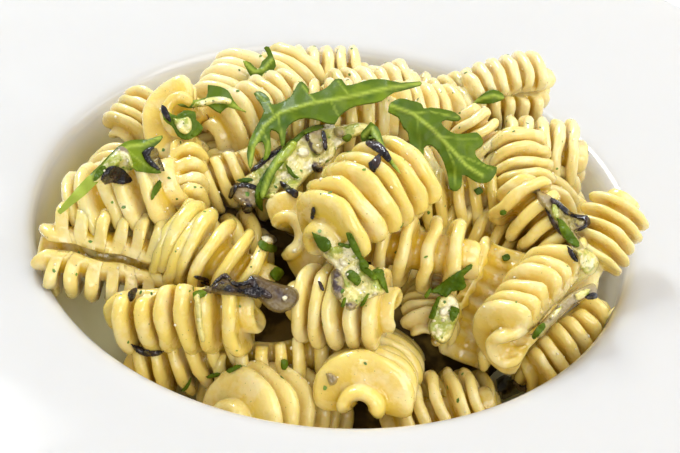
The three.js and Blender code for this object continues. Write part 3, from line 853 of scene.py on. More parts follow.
# Outlines, ribs and depths are as the viewer sees them: pixels of the photograph, and the
# distance from the viewer in mm at each point of the midrib, which is the first of the ribs.
# slope is how steeply the blade leans to the viewer, stem is how many stretches of the midrib
# are all stem, and a leaf that carries has bits lying on it.
LEAVES = {
    "rocket_leaf_long": {
        "outline": [
            (420, 82), (400, 83), (385, 80), (370, 80), (357, 84), (346, 86), (342, 80), (335, 80),
            (329, 86),
            (322, 91), (308, 95), (309, 90), (302, 82), (297, 86), (291, 97), (281, 103), (272, 105),
            (269, 98), (261, 92), (254, 94), (260, 103), (264, 112), (258, 124), (250, 140), (247, 155),
            (250, 169), (253, 160), (255, 147), (262, 141), (265, 150), (263, 160), (268, 158), (271, 148),
            (270, 132), (273, 130), (279, 134), (281, 146), (285, 144), (286, 130), (293, 122), (305, 118),
            (318, 120), (326, 123), (335, 124), (339, 117), (350, 108), (365, 104), (382, 101), (393, 93),
            (420, 86)],
        "ribs": [
            [(420, 84), (390, 88), (350, 97), (310, 104), (280, 113), (264, 127), (253, 148), (250, 166)],
            [(350, 97), (338, 82)], [(316, 103), (302, 86)], [(274, 116), (268, 104), (257, 94)],
            [(262, 130), (268, 142), (266, 156)], [(278, 114), (280, 128), (283, 142)],
            [(330, 100), (338, 116)]],
        "depths": [334, 325, 322, 320, 319, 317, 314, 312],
        "slope": 0.7,
    },
    "rocket_leaf_broad": {
        "outline": [
            (391, 103), (400, 99), (411, 101), (421, 104), (424, 109), (431, 108), (445, 110), (455, 113),
            (461, 119), (455, 121), (446, 120), (441, 123), (446, 129), (455, 134), (468, 134), (477, 133),
            (483, 141), (481, 147), (475, 151), (477, 158), (486, 165), (497, 168), (493, 178), (486, 183),
            (476, 182), (468, 177), (462, 175), (462, 184), (457, 191), (450, 189), (448, 177), (444, 163),
            (437, 150), (430, 145), (424, 148), (424, 157), (420, 163), (414, 159), (410, 146), (408, 133),
            (403, 127), (398, 117), (388, 112)],
        "ribs": [
            [(391, 106), (413, 114), (433, 130), (450, 148), (466, 166), (482, 176)],
            [(413, 114), (430, 112), (457, 118)], [(418, 118), (419, 138), (419, 158)],
            [(440, 137), (458, 139), (478, 139)], [(446, 145), (454, 165), (456, 187)],
            [(456, 155), (470, 160), (492, 170)]],
        "depths": [322, 322, 321, 320, 318, 317],
        "slope": 0.5,
    },
    "leaf_left": {
        "outline": [
            (58, 211), (63, 205), (74, 192), (84, 181), (94, 171), (104, 161), (114, 151), (125, 142),
            (136, 140),
            (148, 140), (162, 136), (160, 142), (152, 149), (149, 156), (153, 163), (161, 173), (148, 173),
            (137, 171), (131, 166), (126, 158), (117, 163), (106, 174), (96, 184), (84, 196), (72, 205),
            (61, 214)],
        "ribs": [
            [(59, 212), (75, 194), (92, 178), (110, 160), (128, 147), (144, 145), (160, 138)],
            [(126, 150), (140, 162), (156, 171)]],
        "depths": [292, 291, 292, 293, 295, 297, 299],
        "slope": 0.3,
        "stem": 2,
        "carries": True,
    },
    "leaf_pale": {
        "outline": [
            (208, 85), (220, 87), (228, 91), (232, 98), (238, 107), (246, 112), (232, 108), (226, 108),
            (220, 113), (212, 108), (205, 105), (190, 108), (176, 104), (192, 101), (206, 98)],
        "ribs": [[(178, 104), (200, 102), (222, 100), (245, 112)]],
        "depths": [320, 321, 323, 322],
        "slope": 0.4,
        "carries": True,
    },
    "leaf_back": {
        "outline": [
            (243, 61), (250, 63), (258, 70), (262, 62), (268, 56), (264, 48), (269, 47), (273, 56),
            (276, 66), (270, 74), (262, 80), (254, 80), (248, 72)],
        "ribs": [[(244, 62), (254, 72), (264, 70), (272, 60)]],
        "depths": [345, 344, 344, 345],
        "slope": 0.2,
    },
    "leaf_top": {
        "outline": [
            (371, 122), (378, 128), (382, 137), (385, 148), (392, 160), (401, 174), (390, 164), (382, 150),
            (376, 139), (369, 140), (366, 145), (362, 142), (361, 134), (366, 128)],
        "ribs": [[(364, 136), (372, 128), (382, 146), (392, 161), (401, 174)]],
        "depths": [301, 300, 293, 290, 288],
        "slope": 0.2,
    },
    "leaf_back_right": {
        "outline": [(473, 103), (480, 97), (488, 91), (498, 91), (504, 98), (494, 103), (484, 104)],
        "ribs": [[(474, 102), (484, 98), (494, 96), (504, 98)]],
        "depths": [344, 343, 343, 344],
        "slope": 0.3,
    },
    "leaf_middle_stem": {
        "outline": [
            (291, 140), (297, 143), (290, 152), (281, 164), (274, 176), (268, 190), (262, 199), (260, 192),
            (264, 178), (272, 162), (282, 149)],
        "ribs": [[(263, 195), (269, 177), (279, 158), (294, 142)]],
        "depths": [309, 311, 314, 318],
        "slope": 0.3,
    },
}
LEAF_THICKNESS = 0.5
LEAF_CELL = 2.2  # pixels between the cuts that give a leaf its inner points
LEAF_DROOP = 0.05  # how much further off a blade is for each pixel from its midrib
LEAF_RIPPLE = 1.2
MIDRIB_WIDTH = 1.5
SIDE_RIB_WIDTH = 0.8
SIDE_RIB_STRENGTH = 0.6
RIB_HEIGHT = 0.25


def from_line(px, py, line):
    """(distance in pixels from a line of points, which stretch is nearest, how far along it)."""
    best = (1e9, 0, 0.0)
    for i, ((ax, ay), (bx, by)) in enumerate(zip(line, line[1:])):
        length = (bx - ax) ** 2 + (by - ay) ** 2
        t = min(1.0, max(0.0, ((px - ax) * (bx - ax) + (py - ay) * (by - ay)) / length))
        best = min(best, (math.hypot(px - ax - t * (bx - ax), py - ay - t * (by - ay)), i, t))
    return best


def cut_in_cells(bm, size):
    """Cuts a flat shape along a grid, so that it can bend."""
    for axis in (Vector((1, 0, 0)), Vector((0, 1, 0))):
        reach = [v.co.dot(axis) for v in bm.verts]
        spot = min(reach) + size / 2
        while spot < max(reach):
            everything = bm.verts[:] + bm.edges[:] + bm.faces[:]
            bmesh.ops.bisect_plane(bm, geom=everything, dist=0.01, plane_co=axis * spot, plane_no=axis)
            spot += size


def flat_sheet(outline, rounding_steps, cell):
    """A flat sheet in pixels, cut in cells so that it can bend, and its rounded outline."""
    edge = smooth_path([*outline, outline[0]], rounding_steps)
    bm = bmesh.new()
    face = bm.faces.new([bm.verts.new((px, py, 0)) for px, py in edge[:-1]])
    face.normal_update()
    bmesh.ops.triangulate(bm, faces=[face], ngon_method="EAR_CLIP")
    cut_in_cells(bm, cell)
    bmesh.ops.remove_doubles(bm, verts=bm.verts, dist=cell * 0.08)
    bmesh.ops.dissolve_degenerate(bm, edges=bm.edges, dist=cell * 0.05)
    bmesh.ops.triangulate(bm, faces=bm.faces)
    return bm, edge


def thicken(piece, thickness, offset=0):
    """Gives a sheet its thickness: half to each side, or with an offset of -1 all to one side."""
    solid = piece.modifiers.new("thickness", "SOLIDIFY")
    solid.thickness = thickness * MM
    solid.offset = offset


def vein_strength(px, py, ribs, stem):
    """How much a pixel of a leaf is rib or stem."""
    off, stretch, _ = from_line(px, py, ribs[0])
    strength = math.exp(-(off / MIDRIB_WIDTH) ** 2) if stretch >= stem else 1.0
    for rib in ribs[1:]:
        off = from_line(px, py, rib)[0]
        strength = max(strength, SIDE_RIB_STRENGTH * math.exp(-(off / SIDE_RIB_WIDTH) ** 2))
    return strength


def add_leaf(name, surface, outline, ribs, depths, slope, stem=0, carries=False):
    """A leaf where the viewer sees it, from its row in LEAVES."""
    bm, _ = flat_sheet(outline, 2, LEAF_CELL)
    vein = bm.verts.layers.float.new("vein")
    for v in bm.verts:
        px, py = v.co.x, v.co.y
        off, stretch, along = from_line(px, py, ribs[0])
        (_, ay), (_, by) = ribs[0][stretch:stretch + 2]
        v[vein] = vein_strength(px, py, ribs, stem)
        depth = depths[stretch] + (depths[stretch + 1] - depths[stretch]) * along
        depth += slope * (ay + (by - ay) * along - py) * depth / pixels_per_depth
        ripple = LEAF_RIPPLE * noise.noise(Vector((px, py, depth)) * 0.06)
        depth += LEAF_DROOP * off - RIB_HEIGHT * v[vein] + ripple
        v.co = view_point + sight(px, py) * depth
    if carries:
        surface.append(BVHTree.FromBMesh(bm))
    piece = finish_piece(f"{name}_blade", bm, LEAF, "rocket", name)
    thicken(piece, LEAF_THICKNESS)


# ------------------------------------------------------------------ clumps and bits on the heap

# Everything laid on the heap, in order: the piece's name, the node it stands for, the kind of
# sheet it is, and its outlines in pixels of the photograph.
LAID_ON = [
    ("sauce_of_middle_clump", "pesto_clump_middle", "sauce", [
        [(234, 186), (240, 180), (248, 174), (256, 168), (266, 160), (274, 152), (283, 147), (289, 142),
         (294, 138), (304, 131), (312, 127), (322, 127), (334, 126), (345, 124), (356, 122), (366, 123),
         (370, 128), (362, 134), (352, 139), (345, 144), (338, 149), (334, 157), (326, 164), (318, 170),
         (310, 176), (304, 182), (299, 188), (296, 194), (290, 191), (284, 187), (279, 191), (272, 198),
         (264, 200), (256, 207), (246, 208), (238, 204), (233, 198), (231, 192)]]),
    ("dice_of_middle_clump", "aubergine_middle", "flesh", [
        [(307, 131), (315, 129), (323, 130), (326, 140), (326, 150), (319, 156), (311, 151), (307, 142)],
        [(313, 160), (320, 163), (323, 170), (317, 173), (311, 168)],
        [(333, 128), (341, 126), (346, 131), (343, 138), (335, 136)]]),
    ("left_dice_of_middle_clump", "aubergine_middle_left", "flesh", [
        [(232, 187), (240, 184), (250, 186), (258, 189), (258, 198), (256, 206), (248, 208), (239, 204),
         (232, 197)]]),
    ("skins_of_middle_clump", "aubergine_middle", "skin", [
        [(322, 131), (325, 133), (327, 148), (324, 149)],
        [(306, 134), (308, 134), (309, 141), (306, 140)],
        [(312, 165), (319, 168), (322, 167), (321, 172), (314, 171)],
        [(280, 181), (286, 184), (291, 188), (298, 192), (296, 198), (289, 193), (282, 187)],
        [(250, 171), (262, 159), (273, 151), (281, 146), (281, 150), (272, 157), (264, 164), (254, 171)]]),
    ("skins_of_left_dice", "aubergine_middle_left", "skin", [
        [(234, 184), (246, 183), (258, 187), (258, 190), (246, 187), (236, 187)],
        [(229, 197), (231, 189), (236, 184), (237, 187), (234, 194), (231, 199)],
        [(241, 206), (252, 206), (251, 212), (245, 213)]]),
    ("herbs_of_middle_clump", "pesto_clump_middle", "leaf", [
        [(290, 142), (299, 134), (308, 128), (320, 125), (323, 128), (312, 131), (303, 136), (296, 143)],
        [(286, 164), (290, 168), (294, 174), (299, 178), (295, 178), (290, 174), (287, 169)],
        [(257, 186), (260, 190), (259, 200), (262, 210), (257, 206), (255, 195)],
        [(342, 138), (348, 134), (352, 137), (347, 142)],
        [(236, 180), (246, 178), (254, 180), (244, 183)]]),
    ("blade_of_middle_stem", "leaf_middle_stem", "leaf", [
        [(279, 158), (284, 162), (276, 171), (271, 181), (268, 190), (262, 198), (263, 211), (259, 207),
         (256, 196), (257, 186), (262, 177), (269, 167)]]),
    ("stem_of_middle_clump", "leaf_middle_stem", "stem", [
        [(287, 142), (293, 140), (298, 144), (293, 153), (286, 160), (279, 166), (274, 164), (279, 154)]]),
    ("cream_of_middle_clump", "pesto_clump_middle", "cream", [
        [(322, 125), (328, 123), (334, 125), (335, 128), (327, 129)],
        [(297, 149), (303, 147), (309, 150), (309, 156), (303, 158), (297, 155)],
        [(318, 160), (323, 159), (324, 163), (319, 164)],
        [(284, 131), (288, 131), (288, 134), (284, 134)]]),
    ("sauce_of_front_clump", "pesto_clump_front", "sauce", [
        [(316, 236), (322, 240), (328, 243), (333, 246), (340, 244), (346, 241), (350, 237), (355, 243),
         (361, 256), (367, 265), (375, 270), (382, 273), (384, 281), (386, 292), (379, 296), (370, 299),
         (363, 303), (358, 308), (350, 312), (344, 308), (340, 303), (336, 297), (331, 292), (330, 286),
         (331, 277), (334, 268), (328, 262), (323, 256), (318, 247)]]),
    ("dice_of_front_clump", "pesto_clump_front", "flesh", [
        [(331, 272), (337, 268), (343, 275), (345, 288), (341, 300), (335, 297), (331, 289)],
        [(345, 303), (352, 301), (358, 305), (352, 311), (346, 309)]]),
    ("herbs_of_front_clump", "pesto_clump_front", "leaf", [
        [(312, 232), (320, 236), (328, 239), (331, 246), (325, 252), (318, 246)],
        [(346, 233), (352, 234), (357, 245), (362, 256), (369, 266), (364, 268), (358, 258), (352, 249)],
        [(370, 272), (376, 269), (383, 270), (384, 276), (388, 293), (383, 288), (378, 279)],
        [(360, 262), (368, 268), (377, 277), (374, 280), (366, 274), (360, 268)],
        [(360, 306), (364, 299), (368, 293), (367, 299), (363, 306)],
        [(338, 243), (350, 245), (349, 248), (340, 246)],
        [(346, 272), (352, 270), (358, 275), (361, 281), (357, 286), (353, 282), (348, 278)],
        [(341, 306), (344, 298), (346, 299), (344, 307)]]),
    ("sauce_of_right_clump", "pesto_clump_right", "sauce", [
        [(430, 318), (435, 305), (440, 296), (452, 294), (459, 303), (460, 313), (456, 326), (450, 340),
         (441, 344), (431, 336), (427, 326)]]),
    ("herbs_of_right_clump", "pesto_clump_right", "leaf", [
        [(428, 293), (440, 285), (450, 277), (460, 271), (471, 264), (471, 269), (463, 276), (466, 286),
         (461, 290), (452, 291), (446, 297), (437, 293)],
        [(451, 306), (459, 309), (457, 316), (452, 322), (450, 315)],
        [(429, 318), (433, 307), (438, 297), (440, 299), (436, 310), (434, 318)],
        [(424, 296), (430, 288), (431, 291), (427, 298)]]),
    ("cream_of_front_clump", "pesto_clump_front", "cream", [
        [(339, 258), (346, 260), (349, 265), (344, 268), (339, 264)]]),
    ("cream_of_right_clump", "pesto_clump_right", "cream", [
        [(439, 309), (444, 306), (449, 306), (450, 312), (444, 317), (439, 315)],
        [(441, 319), (445, 318), (445, 322), (441, 322)]]),
    ("flesh_of_front_aubergine", "aubergine_front", "cooked", [
        [(200, 289), (210, 286), (214, 281), (221, 275), (227, 274), (232, 280), (238, 282), (246, 280),
         (251, 275), (258, 275), (264, 278), (272, 281), (284, 285), (294, 287), (299, 293), (299, 300),
         (294, 307), (286, 312), (277, 313), (268, 309), (262, 303), (257, 298), (246, 297), (234, 296),
         (222, 295), (210, 293)]]),
    ("skins_of_front_aubergine", "aubergine_front", "skin", [
        [(211, 287), (216, 280), (222, 275), (227, 274), (232, 280), (238, 283), (247, 281), (251, 276),
         (254, 279), (258, 286), (256, 290), (250, 284), (240, 286), (232, 284), (227, 278), (221, 279),
         (215, 284)],
        [(212, 288), (222, 281), (232, 287), (244, 289), (256, 288), (262, 294), (256, 298), (244, 294),
         (232, 292), (222, 290)],
        [(258, 287), (266, 290), (272, 296), (268, 298), (261, 294)],
        [(193, 277), (200, 276), (209, 280), (206, 281), (198, 279)],
        [(201, 282), (208, 281), (207, 284), (202, 284)]]),
    ("cream_of_front_aubergine", "aubergine_front", "cream", [
        [(281, 297), (285, 295), (288, 297), (287, 300), (283, 301)]]),
    ("herbs_of_front_aubergine", "aubergine_front", "leaf", [
        [(193, 293), (199, 290), (206, 292), (205, 296), (200, 298), (197, 302), (194, 300)],
        [(270, 274), (274, 268), (280, 268), (284, 273), (281, 277), (278, 281), (273, 279)]]),
    ("skins_below_front_aubergine", "aubergine_front", "skin", [
        [(318, 281), (321, 283), (324, 290), (321, 289)],
        [(131, 344), (140, 347), (150, 351), (164, 351), (158, 355), (146, 356), (136, 351)],
        [(128, 293), (133, 289), (137, 289), (134, 298), (130, 301)]]),
    ("flesh_on_front_scroll", "aubergine_front", "flesh", [
        [(325, 373), (332, 373), (338, 378), (336, 384), (330, 386), (327, 380)]]),
    ("sauce_on_front_left", "pesto_clump_front", "sauce", [
        [(193, 296), (199, 293), (202, 305), (203, 325), (206, 340), (201, 342), (197, 330), (195, 312)]]),
    ("herbs_on_front_cap", "pesto_clump_front", "leaf", [
        [(206, 377), (212, 374), (220, 373), (218, 376), (210, 378)],
        [(226, 371), (231, 368), (238, 365), (242, 366), (237, 369), (230, 373)]]),
    ("flesh_of_left_aubergine", "leaf_left", "sauce", [
        [(92, 183), (102, 165), (112, 152), (120, 145), (128, 149), (132, 158), (134, 168), (126, 176),
         (114, 180), (102, 183)]]),
    ("skins_of_left_aubergine", "aubergine_left", "skin", [
        [(101, 179), (106, 170), (113, 166), (122, 169), (128, 175), (132, 181), (122, 184), (112, 182),
         (105, 184)],
        [(142, 153), (149, 148), (156, 148), (159, 157), (164, 171), (157, 169), (148, 163)]]),
    ("herbs_by_left_leaf", "leaf_left", "leaf", [
        [(155, 185), (160, 180), (161, 187), (154, 197), (151, 200), (152, 192)],
        [(96, 171), (102, 166), (106, 168), (99, 178), (94, 181)]]),
    ("scroll_leaf", "leaf_on_scroll", "leaf", [
        [(162, 106), (168, 112), (176, 116), (184, 111), (195, 112), (196, 120), (203, 128), (196, 136),
         (186, 140), (178, 136), (172, 126), (164, 120)]]),
    ("sauce_of_scroll_leaf", "leaf_on_scroll", "sauce", [
        [(172, 117), (180, 118), (188, 116), (192, 121), (192, 130), (186, 135), (179, 132), (174, 124)]]),
    ("skins_of_scroll_leaf", "leaf_on_scroll", "skin", [
        [(162, 105), (166, 108), (169, 115), (171, 122), (166, 118), (162, 112)]]),
    ("sauce_of_pale_leaf", "leaf_pale", "sauce", [
        [(190, 108), (196, 101), (208, 97), (222, 96), (232, 99), (230, 105), (218, 104), (204, 107)]]),
    ("skins_of_top", "leaf_top", "skin", [
        [(367, 138), (375, 140), (384, 147), (391, 158), (388, 162), (380, 154), (371, 148), (366, 144)],
        [(369, 163), (374, 159), (379, 154), (381, 160), (377, 168), (374, 172), (370, 168)],
        [(311, 218), (312, 209), (314, 207), (315, 212), (313, 219)]]),
    ("flesh_of_right_aubergine", "aubergine_right", "flesh", [
        [(535, 189), (543, 192), (551, 196), (557, 203), (565, 214), (572, 226), (579, 238), (585, 250),
         (581, 261), (574, 252), (564, 240), (555, 228), (546, 212), (538, 201)],
        [(552, 198), (559, 203), (566, 210), (575, 215), (586, 216), (589, 222), (584, 228), (576, 231),
         (570, 233), (565, 225), (559, 214), (552, 205)]]),
    ("skins_of_right_aubergine", "aubergine_right", "skin", [
        [(545, 208), (549, 213), (556, 224), (562, 234), (558, 232), (551, 222)],
        [(567, 246), (573, 252), (578, 262), (571, 257)],
        [(551, 198), (558, 201), (568, 210), (577, 215), (587, 216), (590, 223), (585, 228), (575, 232),
         (584, 226), (585, 220), (576, 218), (566, 214), (557, 205), (552, 203)]]),
    ("sauce_of_right_aubergine", "aubergine_right", "sauce", [
        [(552, 202), (558, 206), (560, 216), (556, 222), (551, 212)],
        [(576, 250), (584, 248), (594, 253), (600, 262), (596, 272), (588, 276), (580, 268)]]),
    ("herbs_of_right_aubergine", "aubergine_right", "leaf", [
        [(557, 218), (563, 221), (571, 231), (579, 243), (577, 247), (568, 242), (561, 232)]]),
    ("flesh_of_low_aubergine", "aubergine_right_low", "flesh", [
        [(531, 335), (539, 324), (549, 314), (559, 303), (571, 293), (583, 287), (593, 283), (597, 289),
         (596, 297), (585, 299), (572, 307), (560, 318), (548, 330), (540, 338)]]),
    ("sauce_of_low_aubergine", "aubergine_right_low", "sauce", [
        [(574, 294), (584, 289), (591, 289), (587, 297), (577, 301)],
        [(548, 317), (556, 309), (563, 305), (560, 312), (552, 321)]]),
    ("skins_of_low_aubergine", "aubergine_right_low", "skin", [
        [(585, 297), (592, 293), (597, 294), (596, 298), (588, 299)]]),
    ("herbs_of_low_aubergine", "aubergine_right_low", "leaf", [
        [(532, 336), (537, 328), (543, 323), (545, 327), (539, 335), (534, 339)]]),
    ("flesh_below_low_aubergine", "aubergine_right_low", "cooked", [
        [(496, 379), (504, 375), (512, 378), (522, 386), (528, 389), (514, 395), (500, 399)]]),
    ("herbs_in_gaps", "pesto_clump_middle", "leaf", [
        [(258, 243), (261, 240), (268, 244), (275, 245), (277, 248), (275, 252), (266, 251), (260, 248)],
        [(500, 211), (505, 210), (506, 214), (501, 215)],
        [(502, 256), (508, 254), (510, 259), (504, 261)],
        [(474, 190), (480, 187), (483, 192), (477, 195)],
        [(281, 360), (287, 360), (287, 368), (282, 369)],
        [(181, 391), (187, 384), (191, 377), (190, 383), (185, 391)]]),
    ("cream_in_gaps", "pesto_clump_middle", "cream", [
        [(261, 237), (266, 234), (273, 235), (277, 239), (275, 243), (268, 243), (263, 241)],
        [(292, 249), (297, 248), (297, 253), (292, 253)]]),
]

# How near the viewer pieces come where they fill the space between others, along a line of
# (pixel across, pixel down, distance in mm).
CLUMP_LEVELS = {
    "sauce_of_middle_clump": [
        (238, 198, 314), (262, 182, 314), (290, 163, 317), (320, 146, 320), (345, 134, 322),
        (370, 128, 322)],
    "sauce_of_front_clump": [
        (316, 237, 292), (330, 250, 290), (345, 264, 288), (354, 284, 286), (350, 305, 284)],
    "sauce_of_right_clump": [
        (466, 268, 301), (451, 280, 299), (441, 296, 297), (442, 316, 296), (441, 335, 297)],
    "herbs_of_right_clump": [(466, 268, 301), (451, 280, 299), (441, 296, 297), (442, 316, 296)],
    "scroll_leaf": [(162, 106, 316), (200, 130, 316)],
    "sauce_of_scroll_leaf": [(162, 106, 316), (200, 130, 316)],
    "flesh_of_front_aubergine": [
        (205, 290, 288), (225, 285, 287), (246, 287, 286), (266, 290, 286), (295, 299, 287)],
    "flesh_of_low_aubergine": [
        (592, 291, 294), (575, 300, 292), (560, 312, 290), (545, 325, 289), (534, 334, 288)],
}
LEVEL_SLOPE = 0.45  # how steeply a clump leans back above its line, in mm for each mm seen


class Sheet(NamedTuple):
    """How one kind of sheet lies on the heap, in mm but for its cell."""
    material: bpy.types.Material
    slot: str
    cell: float  # in pixels
    lift: float
    swell: float
    thickness: float
    ripple: float
    swollen: bool  # whether it is soft, with a rounded edge that sinks into what it lies on


SHEETS = {
    "sauce": Sheet(PESTO, "pesto", 1.7, 0.2, 1.1, 0.8, 0.5, True),
    "cream": Sheet(CHEESE, "pesto", 1.3, 0.4, 0.7, 0.8, 0.3, True),
    "flesh": Sheet(FLESH, "aubergine", 1.8, 0.5, 1.3, 1.2, 0.6, True),
    "cooked": Sheet(COOKED, "aubergine", 1.8, 0.5, 1.5, 1.2, 0.4, True),
    "skin": Sheet(SKIN, "aubergine", 1.3, 0.5, 0.3, 0.4, 0.35, False),
    "leaf": Sheet(LEAF, "rocket", 1.7, 0.6, 0.2, 0.35, 0.5, False),
    "stem": Sheet(STEM, "rocket", 1.5, 0.8, 1.0, 0.8, 0.2, True),
}
TAUTNESS = 30  # how many times a sheet is drawn tight over the gaps below it
EDGE_SINK = 0.9  # how far the edge of a swollen sheet goes into what it lies on
EDGE_DROP = 3  # how far it goes down at most from the sheet drawn tight
EDGE_ROUNDING = 3.2  # pixels from the edge of a sheet to its full height
FINE_RIPPLE = 0.6  # share of the broad ripple


def first_hit(start, way, trees):
    """The nearest point where a line of sight meets the trees, with its normal, or None."""
    hits = [tree.ray_cast(start, way) for tree in trees]
    hits = [(far, point, normal) for point, normal, _, far in hits if point]
    if not hits:
        return None
    _, point, normal = min(hits, key=lambda hit: hit[0])
    return point, (normal if normal.dot(way) < 0 else -normal)


def seen_point(px, py, trees):
    return first_hit(view_point, sight(px, py).normalized(), trees)


def seen_depths(bm, trees):
    """How far from the viewer what lies below each point of a flat sheet is."""
    depths = {}
    for v in bm.verts:
        hit = seen_point(v.co.x, v.co.y, trees)
        depths[v] = (hit[0] - view_point).dot(-view_back) if hit else None
    known = [depth for depth in depths.values() if depth]
    return {v: depth or sum(known) / len(known) for v, depth in depths.items()}


def level_at(px, py, line):
    """How near the viewer a clump comes at a pixel."""
    _, stretch, along = from_line(px, py, [spot[:2] for spot in line])
    (_, ay, near), (_, by, far) = line[stretch:stretch + 2]
    rise = (ay + (by - ay) * along - py) / pixels_per_depth
    depth = near + (far - near) * along
    return depth * (1 + LEVEL_SLOPE * rise)


def drawn_tight(bm, limit):
    """The depths of a sheet that is drawn tight between the points that hold it up."""
    drawn = limit
    for _ in range(TAUTNESS):
        slack = drawn
        drawn = {}
        for v in bm.verts:
            around = [slack[e.other_vert(v)] for e in v.link_edges]
            drawn[v] = min(limit[v], sum(around) / len(around))
    return drawn


def lay_on(bm, edge, sheet, trees, level):
    """Moves a flat sheet to where it lies on what is seen below it, with its swell and ripples."""
    below = seen_depths(bm, trees)
    limit = below
    if level:
        limit = {v: min(depth, level_at(v.co.x, v.co.y, level)) for v, depth in below.items()}
    drawn = drawn_tight(bm, limit)
    for v in bm.verts:
        px, py = v.co.x, v.co.y
        to_edge = min(1.0, from_line(px, py, edge)[0] / EDGE_ROUNDING)
        crown = math.sqrt(1 - (1 - to_edge) ** 2)
        spot = Vector((px, py, 0))
        up = sheet.lift + sheet.swell * crown
        up += sheet.ripple * noise.noise(spot * 0.22) * (crown if sheet.swollen else 1)
        up += sheet.ripple * FINE_RIPPLE * noise.noise(spot * 0.55) * crown
        depth = drawn[v] - up
        if sheet.swollen:
            depth = min(below[v] + EDGE_SINK, drawn[v] + EDGE_DROP) * (1 - crown) + depth * crown
        v.co = view_point + sight(px, py) * depth


def add_laid_on(name, node, kind, outlines, surface):
    """Lays sheets of one kind over what is seen below them, and makes them part of the surface."""
    sheet = SHEETS[kind]
    bm = bmesh.new()
    for outline in outlines:
        part, edge = flat_sheet(outline, 3 if sheet.swollen else 2, sheet.cell)
        lay_on(part, edge, sheet, surface, CLUMP_LEVELS.get(name))
        move_into(bm, part)
    surface.append(BVHTree.FromBMesh(bm))
    piece = finish_piece(name, bm, sheet.material, sheet.slot, node)
    thicken(piece, sheet.thickness, offset=-1 if sheet.swollen else 0)


def inside(px, py, outline):
    odd = False
    for (ax, ay), (bx, by) in zip(outline, outline[1:] + outline[:1]):
        if (ay > py) != (by > py) and px < (bx - ax) * (py - ay) / (by - ay) + ax:
            odd = not odd
    return odd


def spots_inside(outline, count):
    """So many random pixels inside an outline."""
    left, right = min(p[0] for p in outline), max(p[0] for p in outline)
    top, bottom = min(p[1] for p in outline), max(p[1] for p in outline)
    spots = []
    while len(spots) < count:
        px, py = draw.uniform(left, right), draw.uniform(top, bottom)
        if inside(px, py, outline):
            spots.append((px, py))
    return spots


HEAP_REACH = (66, 62)  # half of the heap's length and width
HEAP_MIDDLE = 44
OUTSIDE = 150  # how far off a line that looks for a place on the heap begins


def spots_round_heap(count, trees):
    """Random places on the outside of the heap, from all sides."""
    spots = []
    while len(spots) < count:
        aim = Vector([draw.uniform(-reach, reach) for reach in HEAP_REACH] + [HEAP_MIDDLE])
        way = Vector((draw.uniform(-1, 1), draw.uniform(-1.2, 1), -draw.uniform(0.6, 1.6))).normalized()
        hit = first_hit(aim - way * OUTSIDE, way, trees)
        if hit:
            spots.append(hit)
    return spots


class Bits(NamedTuple):
    """One kind of small bits: sizes from and to in mm, and thickness as a share of the size."""
    material: bpy.types.Material
    slot: str
    sizes: tuple
    flat: float
    torn: bool  # whether they are torn flakes or lumps


CRUMBS = Bits(CHEESE, "pesto", (0.2, 0.5), 0.6, False)
LOOSE_CRUMBS = Bits(CHEESE, "pesto", (0.15, 0.5), 0.6, False)
HERBS = Bits(HERB, "rocket", (0.3, 0.9), 0.15, True)
LOOSE_HERBS = Bits(HERB, "pesto", (0.2, 0.7), 0.12, True)
HERB_FLECKS = 240
CHEESE_CRUMBS = 300
# The pieces that have crumbs and herbs on them, and the nodes that those stand for.
SPRINKLED = {
    "sauce_of_middle_clump": "pesto_clump_middle",
    "sauce_of_front_clump": "pesto_clump_front",
    "sauce_of_right_clump": "pesto_clump_right",
    "flesh_of_left_aubergine": "leaf_left",
}
SPRINKLED_SHARE = 0.2  # bits for each corner of an outline
FLAKE_CORNERS = (5, 7)
FLAKE_REACHES = (0.65, 1.15)
FLAKE_WIDTHS = (0.35, 0.9)
FLAKE_BENDS = (0, 0.12)
FLAKE_TAPER = 0.9  # of its underside
LUMP_WIDTHS = (0.6, 1)


def turned_to(normal):
    """A random turn that points Z along a normal."""
    spin = Matrix.Rotation(draw.uniform(0, 2 * math.pi), 4, "Z")
    return normal.to_track_quat("Z", "Y").to_matrix().to_4x4() @ spin


def add_flake(bm, place, size, bend):
    """A torn flake: a small thick sheet with an uneven outline."""
    corners = draw.randint(*FLAKE_CORNERS)
    ring = []
    for i in range(corners):
        turn = 2 * math.pi * i / corners
        reach = draw.uniform(*FLAKE_REACHES)
        ring.append(Vector((math.cos(turn) * reach * size[0], math.sin(turn) * reach * size[1], 0)))
    edges = []
    for taper, height in ((1, size[2]), (FLAKE_TAPER, -size[2])):
        spots = [p * taper + Vector((0, 0, height - bend * p.x * p.x)) for p in ring]
        edges += bm.faces.new([bm.verts.new(place @ spot) for spot in spots]).edges
    bmesh.ops.bridge_loops(bm, edges=edges)


def add_bits(name, node, bits, spots):
    """Many small bits on the surface, joined in one mesh. spots are (point, normal)."""
    bm = bmesh.new()
    for point, normal in spots:
        size = draw.uniform(*bits.sizes)
        place = Matrix.Translation(point + normal * size * bits.flat * 0.5) @ turned_to(normal)
        if bits.torn:
            widths = (size, size * draw.uniform(*FLAKE_WIDTHS), size * bits.flat)
            add_flake(bm, place, widths, draw.uniform(*FLAKE_BENDS))
        else:
            widths = (size, size * draw.uniform(*LUMP_WIDTHS), size * bits.flat)
            lump = place @ Matrix.Diagonal((*widths, 1))
            bmesh.ops.create_icosphere(bm, subdivisions=1, radius=1, matrix=lump)
    finish_piece(name, bm, bits.material, bits.slot, node, smooth=not bits.torn)


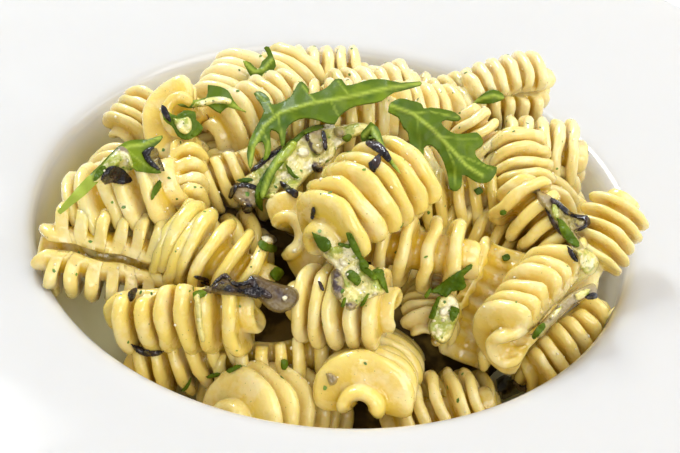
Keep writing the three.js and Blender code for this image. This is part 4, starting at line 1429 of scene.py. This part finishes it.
def sprinkle(clump, node, surface):
    """Scatters crumbs and herbs over a clump."""
    outlines = next(row[3] for row in LAID_ON if row[0] == clump)
    for name, bits in (("crumbs", CRUMBS), ("herbs", HERBS)):
        spots = []
        for outline in outlines:
            count = round(SPRINKLED_SHARE * len(outline)) + 1
            spots += [seen_point(px, py, surface) for px, py in spots_inside(outline, count)]
        add_bits(f"{name}_on_{node}", node, bits, spots)


# ------------------------------------------------------------------ table and light

TABLE_SIZE = 3000
LIGHT_AIM = Vector((0, 0, 0.04))
# Each light's place in metres, its size, its power in watts and its colour.
LIGHTS = {
    "window": ((-0.50, 0.62, 0.78), (0.36, 0.46), 6.6, (0.95, 0.98, 1.0)),
    "window_pane": ((-0.42, 0.5, 0.85), (0.1, 0.14), 2.2, (0.7, 0.85, 1.0)),
    "overhead": ((0.5, -0.1, 1.0), (0.7, 0.7), 4.5, (1.0, 1.0, 1.0)),
    "front_fill": ((0.35, -0.95, 0.65), (0.8, 0.5), 5.5, (1.0, 0.985, 0.96)),
    "back_right_fill": ((0.95, 0.25, 0.5), (0.7, 0.5), 2.5, (1.0, 0.99, 0.97)),
}
ROOM_COLOR = (1.0, 0.99, 0.975)
ROOM_STRENGTH = 0.62


def add_table():
    bm = bmesh.new()
    bmesh.ops.create_grid(bm, x_segments=2, y_segments=2, size=TABLE_SIZE)
    finish_piece("table", bm, TABLE)


def add_light(name, place, size, power, color):
    data = bpy.data.lights.new(name, "AREA")
    data.shape = "RECTANGLE"
    data.size, data.size_y = size
    data.energy = power
    data.color = color
    light = bpy.data.objects.new(name, data)
    light.location = place
    light.rotation_euler = (LIGHT_AIM - Vector(place)).to_track_quat("-Z", "Y").to_euler()
    bpy.context.collection.objects.link(light)


def add_room():
    """The light from all round, and the way in which brightness is shown."""
    world = bpy.data.worlds.new("room")
    world.use_nodes = True
    background = world.node_tree.nodes["Background"]
    background.inputs["Color"].default_value = (*ROOM_COLOR, 1)
    background.inputs["Strength"].default_value = ROOM_STRENGTH
    bpy.context.scene.world = world
    bpy.context.scene.view_settings.view_transform = "Standard"


# ------------------------------------------------------------------ the whole scene

add_camera()
plate_tree = add_plate()
heap_trees = [add_core(), *add_heap()]
surface = [*heap_trees, plate_tree]
for leaf_name, leaf in LEAVES.items():
    add_leaf(leaf_name, surface, **leaf)
for row in LAID_ON:
    add_laid_on(*row, surface)
for clump, node in SPRINKLED.items():
    sprinkle(clump, node, surface)
add_bits("herb_flecks", "radiatori_heap", LOOSE_HERBS, spots_round_heap(HERB_FLECKS, heap_trees))
add_bits("cheese_crumbs", "radiatori_heap", LOOSE_CRUMBS, spots_round_heap(CHEESE_CRUMBS, heap_trees))
add_table()
for light_name, light in LIGHTS.items():
    add_light(light_name, *light)
add_room()
